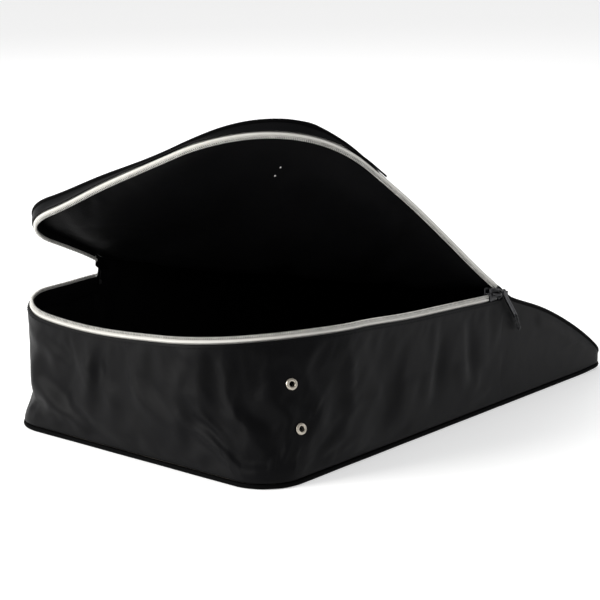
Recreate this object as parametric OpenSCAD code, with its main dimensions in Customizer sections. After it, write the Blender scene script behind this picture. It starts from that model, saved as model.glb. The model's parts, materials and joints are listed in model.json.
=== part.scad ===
// Golf shoe bag: a wedge-shaped fabric case whose lid unzips round the heel end and
// folds back on a diagonal crease in its top. Millimetres, +Z up. The origin is on the
// ground under the middle of the bag; +X points to the toe, -Y to the slider's side.
// Distances written s run from the heel end towards the toe, so x = s - bag_l / 2.

/* [Body] */
// Length from the heel end to the toe end
bag_l = 380; // [375:1:390]
// Width across the heel end
heel_w = 230; // [226:1:236]
// Width across the toe end
toe_w = 190; // [184:1:204]
// Height of the closed lid at the heel end
heel_h = 106.6; // [106:0.2:110]
// Height of the top where the fold reaches the slider's side
fold_h = 82.6; // [82.4:0.1:84]
// Height left at the toe end
toe_h = 7.5; // [7:0.1:10]
// Power of the curve that the top follows down to the toe
toe_drop = 0.76; // [0.7:0.01:0.9]

/* [Corners] */
// Plan radius of both heel corners at the floor
floor_corner_r = 27; // [24:1:32]
// Plan radius of the rim's heel corner on the slider's side
near_corner_r = 84; // [78:1:86]
// Plan radius of the rim's other heel corner
far_corner_r = 36; // [32:1:40]
// Plan radius of the toe corners
toe_corner_r = 12; // [10:1:16]

/* [Opening] */
// Distance from the heel end to the zip's end on the slider's side
near_zip_end = 243; // [238:1:246]
// Distance from the heel end to the zip's other end
far_zip_end = 80; // [74:1:84]
// Height of the rim at the heel end, over the corners
rim_heel_h = 90.6; // [90:0.1:92]
// Height of the rim where its straight run starts
rim_run_h = 83; // [82.5:0.1:83.5]
// Height of the rim at the slider's end of the zip
rim_end_h = 77.6; // [77.2:0.1:77.8]
// How far the heel edge hangs down in its middle
heel_sag = 11; // [0:0.5:14]
// Angle that the lid stands open at rest
lid_open = 43.2; // [20:0.2:60]

/* [Fabric] */
// Thickness of the outer side wall
wall_t = 1.8; // [1.4:0.1:1.9]
// Thickness of the top panels
panel_t = 1.4; // [1:0.1:1.4]
// Thickness of the lining cloth
lining_t = 0.7; // [0.5:0.1:0.8]
// Thickness of the stiffener board in the floor
board_t = 2; // [1.5:0.1:2.2]
// Radius of the piping cord
piping_r = 1.4; // [1.1:0.1:1.4]

/* [Zip] */
// Radius of the coil of teeth
coil_r = 1; // [0.8:0.05:1]
// Gap between the two coils when the lid is down
coil_gap = 1.6; // [1.5:0.05:1.7]
// White tape showing beside the coil
tape_show = 3; // [2.4:0.1:3.2]
// Where the slider stands at rest, from the heel end
slider_s = 234.5; // [232:0.5:234.5]
// Length of the slider
slider_l = 11; // [9:0.5:12]
// Length of the pull tab
pull_l = 25; // [18:1:28]
// Angle that the pull tab hangs below the zip
pull_hang = 48; // [40:1:60]

/* [Handle] */
// Distance from the heel end to the middle of the handle
handle_s = 59; // [55:1:66]
// Width of the handle's webbing
webbing_w = 25; // [20:1:26]
// Height of the handle's arch
handle_rise = 24; // [22:1:26]

/* [Hidden] */

cloth = [0.13, 0.13, 0.14];
lining_cloth = [0.08, 0.08, 0.09];
zip_white = [0.88, 0.87, 0.83];
nickel = [0.75, 0.73, 0.68];
black_metal = [0.18, 0.18, 0.19];

side_tilt = atan((heel_w - toe_w) / 2 / bag_l);      // each side's angle to the middle line
top_slope = (heel_h - fold_h) / near_zip_end;
run_end = near_corner_r * (1 + sin(side_tilt));      // the rim is straight from here to the toe
rim_slope = (rim_run_h - rim_end_h) / (near_zip_end - run_end);
heel_rise = rim_heel_h - rim_run_h - rim_slope * run_end;
clear = 0.2;                                         // gap between neighbouring soft parts
cord_inset = 0.9;                                    // piping's middle, inside the outer face
panel_inset = cord_inset + piping_r + clear;         // edge of the panels inside the piping
seam_h = 2 * piping_r + 2 * clear;                   // height that a piped seam takes
wall_foot = seam_h + clear;
floor_t = 1.2;
board_z = floor_t + 0.1;
lining_z = board_z + board_t + 0.1;
tape_t = 0.8;
tape_sewn = 4;                                       // tape hidden behind the cloth
coil_inset = 2.8;                                    // coil's middle, inside the outer face
lid_lift = coil_gap + 2 * coil_r;                    // from the base's coil up to the lid's
cloth_edge = 2 * coil_r + tape_show;                 // from the rim down to the cloth's edge
fold_gap = 1.5;                                      // the top panels stop this far from the fold
arc_steps = 10;
run_steps = 12;
cord_sides = 8;
sheet_steps = 12;

// ---- Outline ---------------------------------------------------------------------
function lerp(a, b, k) = a + (b - a) * k;
function half_w(s) = lerp(heel_w, toe_w, s / bag_l) / 2;
function world(p) = [p.x - bag_l / 2, p.y];

// A point on a side, d inside the outer face; side is -1 for the slider's side, 1 for the other
function side_pt(side, s, d) =
    [s - d * sin(side_tilt), side * (half_w(s) - d * cos(side_tilt))];
function side_run(side, s0, s1, n, d) = [for (i = [0:n]) side_pt(side, lerp(s0, s1, i / n), d)];

// A corner's arc about the point r inside both edges; cx is that point's s
function arc_pt(side, cx, r, d, a) =
    let (cy = heel_w / 2 - (r + cx * sin(side_tilt)) / cos(side_tilt))
    [cx + (r - d) * cos(a), side * (cy + (r - d) * sin(a))];
function arc(side, cx, r, d, a0, a1) =
    [for (i = [0:arc_steps]) arc_pt(side, cx, r, d, lerp(a0, a1, i / arc_steps))];
function heel_r(side, level) = lerp(floor_corner_r, side < 0 ? near_corner_r : far_corner_r, level);
function heel_arc(side, d, level) =
    let (r = heel_r(side, level)) arc(side, r, r, d, 90 - side_tilt, 180);
function toe_arc(side, d) =
    arc(side, bag_l - toe_corner_r, toe_corner_r, d, 90 - side_tilt, 0);
function tangent_s(side, level) = heel_r(side, level) * (1 + sin(side_tilt));
toe_tangent_s = bag_l - toe_corner_r * (1 - sin(side_tilt));
function between(a, b, n) = [for (i = [1:n - 1]) lerp(a, b, i / n)];
function reversed(v) = [for (i = [len(v) - 1:-1:0]) v[i]];

// Round the heel end from s_near on the slider's side to s_far on the other
function heel_route(s_near, s_far, d, level) =
    let (near = heel_arc(-1, d, level), far = heel_arc(1, d, level))
    concat(
        side_run(-1, s_near, tangent_s(-1, level), run_steps, d), slice(near, 1),
        between(near[arc_steps], far[arc_steps], run_steps), reversed(slice(far, 1)),
        side_run(1, tangent_s(1, level), s_far, 4, d));
function slice(v, from) = [for (i = [from:len(v) - 1]) v[i]];

// Round the toe end from s_far on the far side to s_near on the slider's side
function toe_route(s_far, s_near, d) =
    concat(
        side_run(1, s_far, toe_tangent_s, 2 * run_steps, d), slice(toe_arc(1, d), 1),
        between(toe_arc(1, d)[arc_steps], toe_arc(-1, d)[arc_steps], 6),
        reversed(slice(toe_arc(-1, d), 1)), side_run(-1, toe_tangent_s, s_near, run_steps, d));

step_l = 0.6;                                        // length of the wall's step at a zip end
function whole_route(d, level) =
    concat(
        heel_route(near_zip_end + step_l / 2, far_zip_end - step_l / 2, d, level),
        toe_route(far_zip_end + step_l / 2, near_zip_end + 1.5 * step_l, d));

lining_end = 300;                                    // the lining stops here, short of the toe
function lining_route(d, level) =
    concat(
        side_run(-1, lining_end, near_zip_end + 1.5 * step_l, 6, d),
        heel_route(near_zip_end + step_l / 2, far_zip_end - step_l / 2, d, level),
        side_run(1, far_zip_end + step_l / 2, lining_end, 2 * run_steps, d));

// ---- Heights ---------------------------------------------------------------------
function sag(p) = heel_sag * (1 - pow(2 * p.y / heel_w, 4)) * max(0, 1 - p.x / run_end);
function rim_z(p) =
    let (back = max(0, run_end - p.x))
    rim_end_h + rim_slope * (near_zip_end - p.x) + heel_rise * pow(back / run_end, 2) - sag(p);
function top_z(p) =
    p.x < near_zip_end ? fold_h + top_slope * (near_zip_end - p.x) - sag(p)
    : toe_h + (fold_h - toe_h) * pow(max(0, (bag_l - p.x) / (bag_l - near_zip_end)), toe_drop);
function on_zip(p) = p.y < 0 ? p.x <= near_zip_end + step_l : p.x < far_zip_end;
function wall_top(p) = on_zip(p) ? rim_z(p) - cloth_edge : top_z(p) - seam_h;
function lining_top(p) = wall_top(p) - (on_zip(p) ? tape_sewn + clear : 1);
function wall_level(p, z) = (z - wall_foot) / (wall_top(p) - wall_foot);

// ---- Builders ---------------------------------------------------------------------
// Skin over a row of rings that all have the same number of points
module skin(rings, closed = false) {
    n = len(rings);
    m = len(rings[0]);
    spans = closed ? n : n - 1;
    sides = [for (i = [0:spans - 1]) for (j = [0:m - 1])
        let (a = i * m + j, b = i * m + (j + 1) % m,
            c = ((i + 1) % n) * m + (j + 1) % m, d = ((i + 1) % n) * m + j)
        each [[a, b, c], [a, c, d]]];
    rungs = [for (j = [0:m / 2 - 2]) [j, j + 1, m - 2 - j, m - 1 - j]];
    last = (n - 1) * m * [1, 1, 1, 1];
    ends = closed ? [] : [for (q = rungs) each [reversed(q), q + last]];
    translate([-bag_l / 2, 0, 0])
        polyhedron(points = [for (ring = rings) each ring], faces = concat(sides, ends));
}

// A strip along a route. Each profile point is [inset, share of the height, lift, level], and
// without a level the point lies in the wall's own slope.
module ribbon(route, profile, low, high, closed = false) {
    axis = route(0, 1);
    feet = [for (q = profile) route(q[0], 0)];
    tops = [for (q = profile) route(q[0], 1)];
    skin([for (i = [0:len(axis) - 1]) let (a = low(axis[i]), b = high(axis[i]))
        [for (j = [0:len(profile) - 1]) let (
            z = lerp(a, b, profile[j][1]) + profile[j][2],
            level = is_undef(profile[j][3]) ? wall_level(axis[i], z) : profile[j][3],
            p = lerp(feet[j][i], tops[j][i], level)) [p.x, p.y, z]]], closed);
}

function flat_profile(d, t, level = undef) = [[d + t, 0, 0, level], [d + t, 1, 0, level],
    [d, 1, 0, level], [d, 0, 0, level]];

function cord_profile(d, r, level) = [for (i = [0:cord_sides - 1])
    let (a = -360 * i / cord_sides) [d - r * cos(a), 0, r * sin(a), level]];

// A sheet between two edges, its upper face at height z(p)
module sheet(near, far, z, t) {
    skin([for (i = [0:len(near) - 1])
        let (row = [for (k = [0:sheet_steps]) lerp(near[i], far[i], k / sheet_steps)])
        concat([for (p = reversed(row)) [p.x, p.y, z(p)]], [for (p = row) [p.x, p.y, z(p) - t]])]);
}
function lid_edge(side, s0, d) =
    concat(side_run(side, s0, tangent_s(side, 1), run_steps, d), slice(heel_arc(side, d, 1), 1));
function toe_edge(side, s0, d) =
    concat(side_run(side, s0, toe_tangent_s, 2 * run_steps, d), slice(toe_arc(side, d), 1));

function floor_outline(d, to_s) = [for (p = reversed(heel_route(to_s, to_s, d, 0))) world(p)];

// ---- Fold and rim frames ----------------------------------------------------------
fold_a = let (p = side_pt(-1, near_zip_end, 0)) [world(p).x, p.y, top_z(p) - panel_t / 2];
fold_b = let (p = side_pt(1, far_zip_end, 0)) [world(p).x, p.y, top_z(p) - panel_t / 2];
module on_lid() {
    translate(fold_a) rotate(a = lid_open, v = fold_b - fold_a) translate(-fold_a) children();
}
rim_pitch = atan(rim_slope * cos(side_tilt));
slider_at = let (p = side_pt(-1, slider_s, coil_inset)) [world(p).x, p.y, rim_z(p) - coil_r];
// Local frame of the slider: x along the zip to the toe, -y outwards, z up, coil at the origin
module on_rim() {
    translate(slider_at) rotate([0, rim_pitch, side_tilt]) children();
}

// ---- Floor ------------------------------------------------------------------------
module base_panel() {
    join_s = bag_l / 2;
    color(cloth) linear_extrude(floor_t) polygon(concat(
        [for (p = toe_route(join_s, join_s, panel_inset)) world(p)],
        [for (p = heel_route(join_s - 1, join_s - 1, panel_inset, 0)) world(p)]));
}
board_end = bag_l - 16;                              // the board stops here, short of the toe
board_inset = panel_inset + 0.6;
module base_board() {
    color("dimgray") translate([0, 0, board_z]) linear_extrude(board_t)
        polygon(floor_outline(board_inset, board_end));
}
module floor_lining() {
    color(lining_cloth) translate([0, 0, lining_z]) linear_extrude(lining_t)
        polygon(floor_outline(board_inset + 0.6, board_end - 2));
}
module bottom_piping() {
    color(cloth) ribbon(function (d, level) whole_route(d, level),
        cord_profile(cord_inset, piping_r, 0), function (p) piping_r + clear,
        function (p) piping_r + clear, closed = true);
}

// ---- Vent eyelets -----------------------------------------------------------------
eyelet_r = 4;
barrel_r = 2.4;
vent_r = 1.7;
flange_t = 0.8;
eyelet_gap = 0.25;                                   // flange off the curved cloth
washer_in = wall_t + lining_t + 1.5;                 // inner washer's depth in the wall
washer_t = 0.5;
barrel_past = 0.4;                                   // the barrel is rolled over this far inside
// [side, angle round the corner, height]
vents = [[-1, 120, 58], [-1, 108, 32.3], [1, 98, 58], [1, 92, 32.3]];
module at_vents() {
    for (v = vents) {
        rim_r = heel_r(v[0], 1);
        rim_pt = arc_pt(v[0], rim_r, rim_r, 0, v[1]);
        r = heel_r(v[0], wall_level(rim_pt, v[2]));
        p = world(arc_pt(v[0], r, r, 0, v[1]));
        growth = (rim_r - floor_corner_r) / (wall_top(rim_pt) - wall_foot);
        lean = growth * (1 + cos(v[1]) - sin(v[1]) * (1 + sin(side_tilt)) / cos(side_tilt));
        translate([p.x, p.y, v[2]]) rotate([0, 90 + atan(lean), v[0] * v[1]]) children();
    }
}
module eyelet_barrels() {
    color(nickel) at_vents() difference() {
        union() {
            translate([0, 0, eyelet_gap]) cylinder(r = eyelet_r, h = flange_t, $fn = 48);
            translate([0, 0, -washer_in - barrel_past])
                cylinder(r = barrel_r, h = washer_in + barrel_past + eyelet_gap + 0.1, $fn = 48);
        }
        translate([0, 0, -washer_in - 1]) cylinder(r = vent_r, h = washer_in + 3, $fn = 48);
    }
}
module eyelet_washers() {
    color(nickel) at_vents() translate([0, 0, -washer_in]) difference() {
        cylinder(r = eyelet_r, h = washer_t, $fn = 48);
        translate([0, 0, -1]) cylinder(r = barrel_r + 0.1, h = 3, $fn = 48);
    }
}
module vent_holes() {
    at_vents() translate([0, 0, -8]) cylinder(r = barrel_r + 0.2, h = 12, $fn = 48);
}

// ---- Walls ------------------------------------------------------------------------
module side_wall() {
    color(cloth) difference() {
        ribbon(function (d, level) whole_route(d, level),
            flat_profile(0, wall_t), function (p) wall_foot, function (p) wall_top(p), closed = true);
        vent_holes();
    }
}
module wall_lining() {
    color(lining_cloth) difference() {
        ribbon(function (d, level) lining_route(d, level), flat_profile(wall_t + clear, lining_t),
            function (p) lining_z + lining_t + clear, function (p) lining_top(p));
        vent_holes();
    }
}
module toe_panel() {
    color(cloth) sheet(toe_edge(1, far_zip_end + 2 * fold_gap, panel_inset),
        toe_edge(-1, near_zip_end + 2 * fold_gap, panel_inset), function (p) top_z(p), panel_t);
}
module toe_piping() {
    color(cloth) ribbon(function (d, level) toe_route(far_zip_end + 3, near_zip_end + 3, d),
        cord_profile(cord_inset, piping_r, 1), function (p) top_z(p) - piping_r - clear,
        function (p) top_z(p) - piping_r - clear);
}

// ---- Zip on the base ----------------------------------------------------------------
stop_size = [2, 2.6, 3];
coil_near = near_zip_end - stop_size.x - 3 * clear;  // where the base's coil starts and ends
coil_far = far_zip_end - stop_size.x - 3 * clear;
tape_inset = coil_inset - tape_t / 2;
binding_inset = coil_inset + tape_t / 2 + clear;
module base_zip_tape() {
    color(zip_white) ribbon(function (d, level) heel_route(coil_near, coil_far, d, level),
        flat_profile(tape_inset, tape_t, 1), function (p) rim_z(p) - cloth_edge - tape_sewn,
        function (p) rim_z(p) - 2 * coil_r - 0.05);
}
module base_zip_coil() {
    color(zip_white) ribbon(function (d, level) heel_route(coil_near, coil_far, d, level),
        cord_profile(coil_inset, coil_r, 1), function (p) rim_z(p) - coil_r,
        function (p) rim_z(p) - coil_r);
}
binding_h = 10;
binding_drop = 2 * coil_r + 2;                       // from the rim down to the binding
module rim_binding() {
    color(lining_cloth) ribbon(
        function (d, level) heel_route(coil_near - 3, coil_far, d, level),
        flat_profile(binding_inset, lining_t, 1),
        function (p) rim_z(p) - binding_drop - binding_h, function (p) rim_z(p) - binding_drop);
}
module zip_stop(side, s) {
    p = side_pt(side, s, coil_inset);
    translate([world(p).x, p.y, rim_z(p) - coil_r]) rotate([0, 0, -side * side_tilt])
        difference() {
            translate(-stop_size / 2) cube(stop_size);
            translate([-stop_size.x, -tape_t / 2, -stop_size.z]) cube([4, tape_t, stop_size.z]);
        }
}
module zip_stops() {
    color(black_metal) {
        zip_stop(-1, coil_near + stop_size.x / 2 + clear);
        zip_stop(1, coil_far + stop_size.x / 2 + clear);
    }
}

// ---- Lid --------------------------------------------------------------------------
lid_cloth_edge = coil_gap + cloth_edge;              // from the rim up to the lid's cloth
piping_start = near_zip_end - 30;
band_start = near_zip_end - 86;
tape_start = near_zip_end - 20;
lid_near = near_zip_end - 2 * fold_gap;
lid_far = far_zip_end - 2 * fold_gap;
lid_lining_inset = panel_inset + 2.4;
lid_lining_near = near_zip_end - 20;
lid_lining_far = far_zip_end - 8;
module lid_panel() {
    color(cloth) on_lid() sheet(lid_edge(-1, lid_near, panel_inset),
        lid_edge(1, lid_far, panel_inset), function (p) top_z(p), panel_t);
}
module lid_lining() {
    drop = panel_t + 2 * clear;
    color(lining_cloth) on_lid() sheet(lid_edge(-1, lid_lining_near, lid_lining_inset),
        lid_edge(1, lid_lining_far, lid_lining_inset), function (p) top_z(p) - drop, lining_t);
}
module lid_band() {
    color(cloth) on_lid() ribbon(function (d, level) heel_route(band_start, lid_far, d, level),
        flat_profile(0, wall_t, 1), function (p) rim_z(p) + lid_cloth_edge,
        function (p) top_z(p) - seam_h);
}
module lid_piping() {
    color(cloth) on_lid() ribbon(function (d, level) heel_route(piping_start, lid_far, d, level),
        cord_profile(cord_inset, piping_r, 1), function (p) top_z(p) - piping_r - clear,
        function (p) top_z(p) - piping_r - clear);
}
module lid_zip_tape() {
    color(zip_white) on_lid() ribbon(function (d, level) heel_route(tape_start, lid_far, d, level),
        flat_profile(tape_inset, tape_t, 1), function (p) rim_z(p) + coil_gap + 2 * coil_r + 0.05,
        function (p) min(rim_z(p) + lid_cloth_edge + tape_sewn, top_z(p) - panel_t - clear));
}
module lid_zip_coil() {
    color(zip_white) on_lid() ribbon(
        function (d, level) heel_route(lid_near, lid_far, d, level),
        cord_profile(coil_inset, coil_r, 1), function (p) rim_z(p) + lid_lift - coil_r,
        function (p) rim_z(p) + lid_lift - coil_r);
}
module lid_binding() {
    color(lining_cloth) on_lid() ribbon(
        function (d, level) heel_route(band_start, lid_far - 2, d, level),
        flat_profile(binding_inset, lining_t, 1), function (p) rim_z(p) + coil_gap + 2 * coil_r + 1,
        function (p) top_z(p) - panel_t - 3 * clear - lining_t);
}

// ---- Handle -----------------------------------------------------------------------
webbing_t = 2.2;
swing_gap = 0.6;                                     // between a sewn patch and the swinging part
arch_half = 50;                                      // half the length of the free arch
swing_half = 38;                                     // half the length that swings
patch_out = 74;                                      // outer end of a sewn patch
function arch_h(y) = handle_rise * (1 - pow(y / arch_half, 2));
function strap_ring(y, h) =
    let (mid = [handle_s, y], lift = max(h, 0) + clear)
    [for (q = [[1, 0], [1, 1], [-1, 1], [-1, 0]])
        let (s = handle_s + q[0] * webbing_w / 2, low = h > 0 ? top_z(mid) : top_z([s, y]))
        [s, y, low + lift + q[1] * webbing_t]];
module strap(y0, y1, n) {
    skin([for (i = [0:n]) let (y = lerp(y0, y1, i / n))
        strap_ring(y, abs(y) < arch_half ? arch_h(y) : 0)]);
}
module handle_patches() {
    color(cloth) on_lid() {
        strap(-patch_out, -swing_half - swing_gap, 12);
        strap(swing_half + swing_gap, patch_out, 12);
    }
}
module handle_webbing() {
    color(cloth) on_lid() strap(-swing_half, swing_half, 20);
}

// ---- Slider and pull ----------------------------------------------------------------
channel = coil_r + 0.5;                              // half the slider's inner width
plate_t = 1.1;
plate_low = -2.5;
plate_high = lid_lift + 0.6;
hinge_y = -5.2;                                      // pull's hinge pin, outside the slider
hinge_z = 1.8;
bar_r = 0.6;
ring_half = 2.6;                                     // half the length of the link's hinge bar
eye_x = 6.4;
pin_r = 0.6;
module slider_body() {
    color(black_metal) on_rim() {
        for (side = [-1, 1]) {
            translate([-slider_l / 2, side < 0 ? -channel - plate_t : channel, plate_low])
                cube([slider_l, plate_t, plate_high - plate_low]);
            translate([-slider_l / 2, side < 0 ? -channel : channel - 0.7, plate_low])
                cube([slider_l, 0.7, 0.9]);
        }
        translate([slider_l / 2 - 3.5, -channel, coil_r + 0.35])
            cube([3.5, 2 * channel, coil_gap - 0.7]);
    }
}
bridge_l = 7.2;
bridge_w = 1.6;
bridge_t = 1.1;
module slider_bridge() {
    reach = -hinge_y + bar_r + 0.4;                  // inner face of the bridge's crown
    low = channel + plate_t;
    color(black_metal) on_rim() translate([0, 0, hinge_z - bridge_w / 2]) difference() {
        translate([-bridge_l / 2, -reach - bridge_t, 0])
            cube([bridge_l, reach + bridge_t - low, bridge_w]);
        translate([bridge_t - bridge_l / 2, -reach, -bridge_w])
            cube([bridge_l - 2 * bridge_t, reach, 3 * bridge_w]);
    }
}
module rod(a, b, r) {
    v = b - a;
    translate(a) rotate([0, atan2(norm([v.x, v.y]), v.z), atan2(v.y, v.x)])
        cylinder(r = r, h = norm(v), $fn = 24);
}
module pull_link() {
    color(black_metal) on_rim() translate([0, hinge_y, hinge_z]) difference() {
        union() {
            rod([0, 0, -ring_half], [0, 0, ring_half], bar_r);
            for (side = [-1, 1]) {
                translate([0, 0, side * ring_half]) sphere(r = bar_r, $fn = 24);
                rod([0, 0, side * ring_half], [eye_x - 1, 0, side * 0.9], 0.5);
            }
            translate([eye_x, 0.5, 0]) rotate([90, 0, 0]) cylinder(r = 1.6, h = 1, $fn = 32);
        }
        translate([eye_x, 2, 0]) rotate([90, 0, 0]) cylinder(r = pin_r + 0.06, h = 4, $fn = 32);
    }
}
tab_w = 3.2;
tab_t = 1.7;
cheek_y = 0.65;                                      // inner face of the tab's cheeks
cheek_t = 0.55;
grip_x = 2.4;                                        // the solid grip starts this far from the pin
hole_x = pull_l - 1.9;                               // the cord's hole in the tab's end
hole_r = 0.9;
module on_pull() {
    on_rim() translate([eye_x, hinge_y, hinge_z]) rotate([0, pull_hang, 0]) children();
}
module pull_tab() {
    color([0.27, 0.27, 0.28]) on_pull() difference() {
        union() {
            for (side = [-1, 1]) translate([0, side * (cheek_y + cheek_t / 2), 0]) {
                rotate([90, 0, 0]) cylinder(r = tab_w / 2, h = cheek_t, center = true, $fn = 32);
                translate([0, -cheek_t / 2, -tab_w / 2]) cube([grip_x + 1, cheek_t, tab_w]);
            }
            translate([0, cheek_y + 0.1, 0]) rotate([90, 0, 0])
                cylinder(r = pin_r, h = 2 * cheek_y + 0.2, $fn = 32);
            translate([grip_x, -tab_t / 2, -tab_w / 2])
                cube([pull_l - tab_w / 2 - grip_x, tab_t, tab_w]);
            translate([grip_x, -cheek_y - cheek_t, -tab_w / 2])
                cube([1, 2 * (cheek_y + cheek_t), tab_w]);
            translate([pull_l - tab_w / 2, tab_t / 2, 0]) rotate([90, 0, 0])
                cylinder(r = tab_w / 2, h = tab_t, $fn = 32);
        }
        translate([hole_x, tab_t, 0]) rotate([90, 0, 0]) cylinder(r = hole_r, h = 2 * tab_t, $fn = 24);
    }
}
cord_r = 0.55;
cord_y = tab_t / 2 + cord_r + 0.1;                   // each leg of the cord beside the tab
cord_l = 11;                                         // from the tab's hole to the knot
knot_r = 1.5;
cord_drop = 12;                                      // the cord hangs steeper than the tab
module pull_cord() {
    color(cloth) on_pull() translate([hole_x, 0, 0]) rotate([0, cord_drop, 0]) {
        rod([0, -cord_y, 0], [0, cord_y, 0], cord_r);
        for (side = [-1, 1]) {
            translate([0, side * cord_y, 0]) sphere(r = cord_r, $fn = 24);
            rod([0, side * cord_y, 0], [cord_l, side * knot_r / 2, 0], cord_r);
        }
        translate([cord_l, 0, 0]) sphere(r = knot_r, $fn = 32);
    }
}

base_panel();
base_board();
floor_lining();
side_wall();
wall_lining();
toe_panel();
bottom_piping();
toe_piping();
rim_binding();
base_zip_tape();
base_zip_coil();
zip_stops();
eyelet_barrels();
eyelet_washers();
lid_panel();
lid_lining();
lid_band();
lid_piping();
lid_binding();
lid_zip_tape();
lid_zip_coil();
handle_patches();
handle_webbing();
slider_body();
slider_bridge();
pull_link();
pull_tab();
pull_cord();
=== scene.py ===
# Golf shoe bag: the visual model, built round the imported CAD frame.
# Builders work in millimetres in the bag's own terms: s runs from the heel end to the toe,
# y across (the slider's side is negative) and z up. put() turns them into metres in the frame.
import json
import math

import bmesh
import bpy
import numpy as np
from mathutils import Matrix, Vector


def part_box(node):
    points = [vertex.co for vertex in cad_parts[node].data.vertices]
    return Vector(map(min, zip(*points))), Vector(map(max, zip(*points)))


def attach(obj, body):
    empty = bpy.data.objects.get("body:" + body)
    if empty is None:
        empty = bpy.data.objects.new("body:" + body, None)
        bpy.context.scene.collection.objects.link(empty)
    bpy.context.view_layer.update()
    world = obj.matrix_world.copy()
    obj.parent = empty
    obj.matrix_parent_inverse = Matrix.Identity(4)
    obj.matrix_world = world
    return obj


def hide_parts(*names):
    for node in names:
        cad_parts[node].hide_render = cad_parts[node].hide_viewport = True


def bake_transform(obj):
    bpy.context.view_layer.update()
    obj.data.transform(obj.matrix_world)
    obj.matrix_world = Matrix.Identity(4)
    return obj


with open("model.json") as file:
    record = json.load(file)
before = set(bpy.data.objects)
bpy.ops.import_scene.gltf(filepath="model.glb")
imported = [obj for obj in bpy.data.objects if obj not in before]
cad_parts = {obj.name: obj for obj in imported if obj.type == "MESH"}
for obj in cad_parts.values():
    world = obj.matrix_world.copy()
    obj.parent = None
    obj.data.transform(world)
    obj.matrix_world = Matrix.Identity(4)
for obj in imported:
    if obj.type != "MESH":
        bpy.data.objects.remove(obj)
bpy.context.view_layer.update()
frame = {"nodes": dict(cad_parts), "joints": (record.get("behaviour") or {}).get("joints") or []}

MM = 0.001
JOINTS = {j["name"]: j for j in frame["joints"]}

# ---- Driving sizes, in millimetres ----
wall_lo, wall_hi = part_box("side_wall")
BAG_L = round((wall_hi.x - wall_lo.x) / MM, 1)  # heel end to toe end
HEEL_W = 230.0  # width at the heel end
TOE_W = 190.0  # width at the toe end
HEEL_H = 106.6  # closed height at the heel end
FOLD_H = 82.6  # top height where the fold meets the near side
TOE_H = 7.5  # height at the toe end
TOE_DROP = 0.76  # power of the top's curve down to the toe
FLOOR_R = 27.0  # heel corner radius at the floor
NEAR_R = 84.0  # rim corner radius on the slider's side
FAR_R = 36.0  # rim corner radius on the far side
TOE_R = 12.0  # toe corner radius
NEAR_END = 243.0  # zip end on the slider's side
FAR_END = 80.0  # zip end on the far side
RIM_HEEL_H = 90.6
RIM_RUN_H = 83.0
RIM_END_H = 77.6
SAG = 11.0  # droop of the heel edge in its middle
LID_OPEN = np.radians(43.2)
COIL_R = 1.0
COIL_INSET = 2.8  # coil's middle, inside the outer face
COIL_GAP = 1.6  # between the coils when the lid is down
WALL_T = 1.8
PIPE_R = 1.5
PIPE_INSET = 0.9

TILT = math.atan((HEEL_W - TOE_W) / 2 / BAG_L)
TOP_SLOPE = (HEEL_H - FOLD_H) / NEAR_END
RUN_END = NEAR_R * (1 + math.sin(TILT))  # the rim is straight from here to the toe
RIM_SLOPE = (RIM_RUN_H - RIM_END_H) / (NEAR_END - RUN_END)
HEEL_RISE = RIM_HEEL_H - RIM_RUN_H - RIM_SLOPE * RUN_END
TAPE_TOP = 3.8  # from the rim to the end of the white strip
CLOTH_EDGE = 3.9  # from the rim down to the cloth's edge
LID_EDGE = COIL_GAP + CLOTH_EDGE  # from the rim up to the lid's cloth
NEAR, FAR = -1, 1


# ---- Outline ----
def half_w(s):
    return (HEEL_W + (TOE_W - HEEL_W) * s / BAG_L) / 2


def side_run(side, s0, s1, n, d):
    s = np.linspace(s0, s1, n + 1)
    return np.stack([s - d * math.sin(TILT), side * (half_w(s) - d * math.cos(TILT))], 1)


def arc(side, cx, r, d, a0, a1, n):
    cy = HEEL_W / 2 - (r + cx * math.sin(TILT)) / math.cos(TILT)
    a = np.radians(np.linspace(a0, a1, n + 1))
    return np.stack([cx + (r - d) * np.cos(a), side * (cy + (r - d) * np.sin(a))], 1)


def heel_r(side, level):
    return FLOOR_R + ((NEAR_R if side == NEAR else FAR_R) - FLOOR_R) * level


def heel_arc(side, d, level, n):
    r = heel_r(side, level)
    return arc(side, r, r, d, 90 - math.degrees(TILT), 180, n)


def toe_arc(side, d, n=6):
    return arc(side, BAG_L - TOE_R, TOE_R, d, 90 - math.degrees(TILT), 0, n)


def tangent_s(side, level):
    return heel_r(side, level) * (1 + math.sin(TILT))


TOE_TANGENT = BAG_L - TOE_R * (1 - math.sin(TILT))


def between(a, b, n):
    return a + (b - a) * np.linspace(0, 1, n + 1)[1:-1, None]


def heel_route(s_near, s_far, d, level, fine=1.0):
    """Round the heel end, from s_near on the near side to s_far on the far side."""
    n = [max(2, int(round(k * fine))) for k in (36, 32, 28, 16, 10)]
    near, far = heel_arc(NEAR, d, level, n[1]), heel_arc(FAR, d, level, n[3])
    return np.vstack([
        side_run(NEAR, s_near, tangent_s(NEAR, level), n[0], d), near[1:],
        between(near[-1], far[-1], n[2]), far[::-1],
        side_run(FAR, tangent_s(FAR, level), s_far, n[4], d)[1:]])


def toe_route(s_far, s_near, d):
    """Round the toe end, from s_far on the far side to s_near on the near side."""
    far, near = toe_arc(FAR, d), toe_arc(NEAR, d)
    return np.vstack([
        side_run(FAR, s_far, TOE_TANGENT, 56, d), far[1:], between(far[-1], near[-1], 26),
        near[::-1], side_run(NEAR, TOE_TANGENT, s_near, 30, d)[1:]])


def whole_route(d, level):
    step = 0.5
    return np.vstack([heel_route(NEAR_END + step, FAR_END - step, d, level, 1.4),
                      toe_route(FAR_END + step, NEAR_END + 3 * step, d)])


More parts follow.
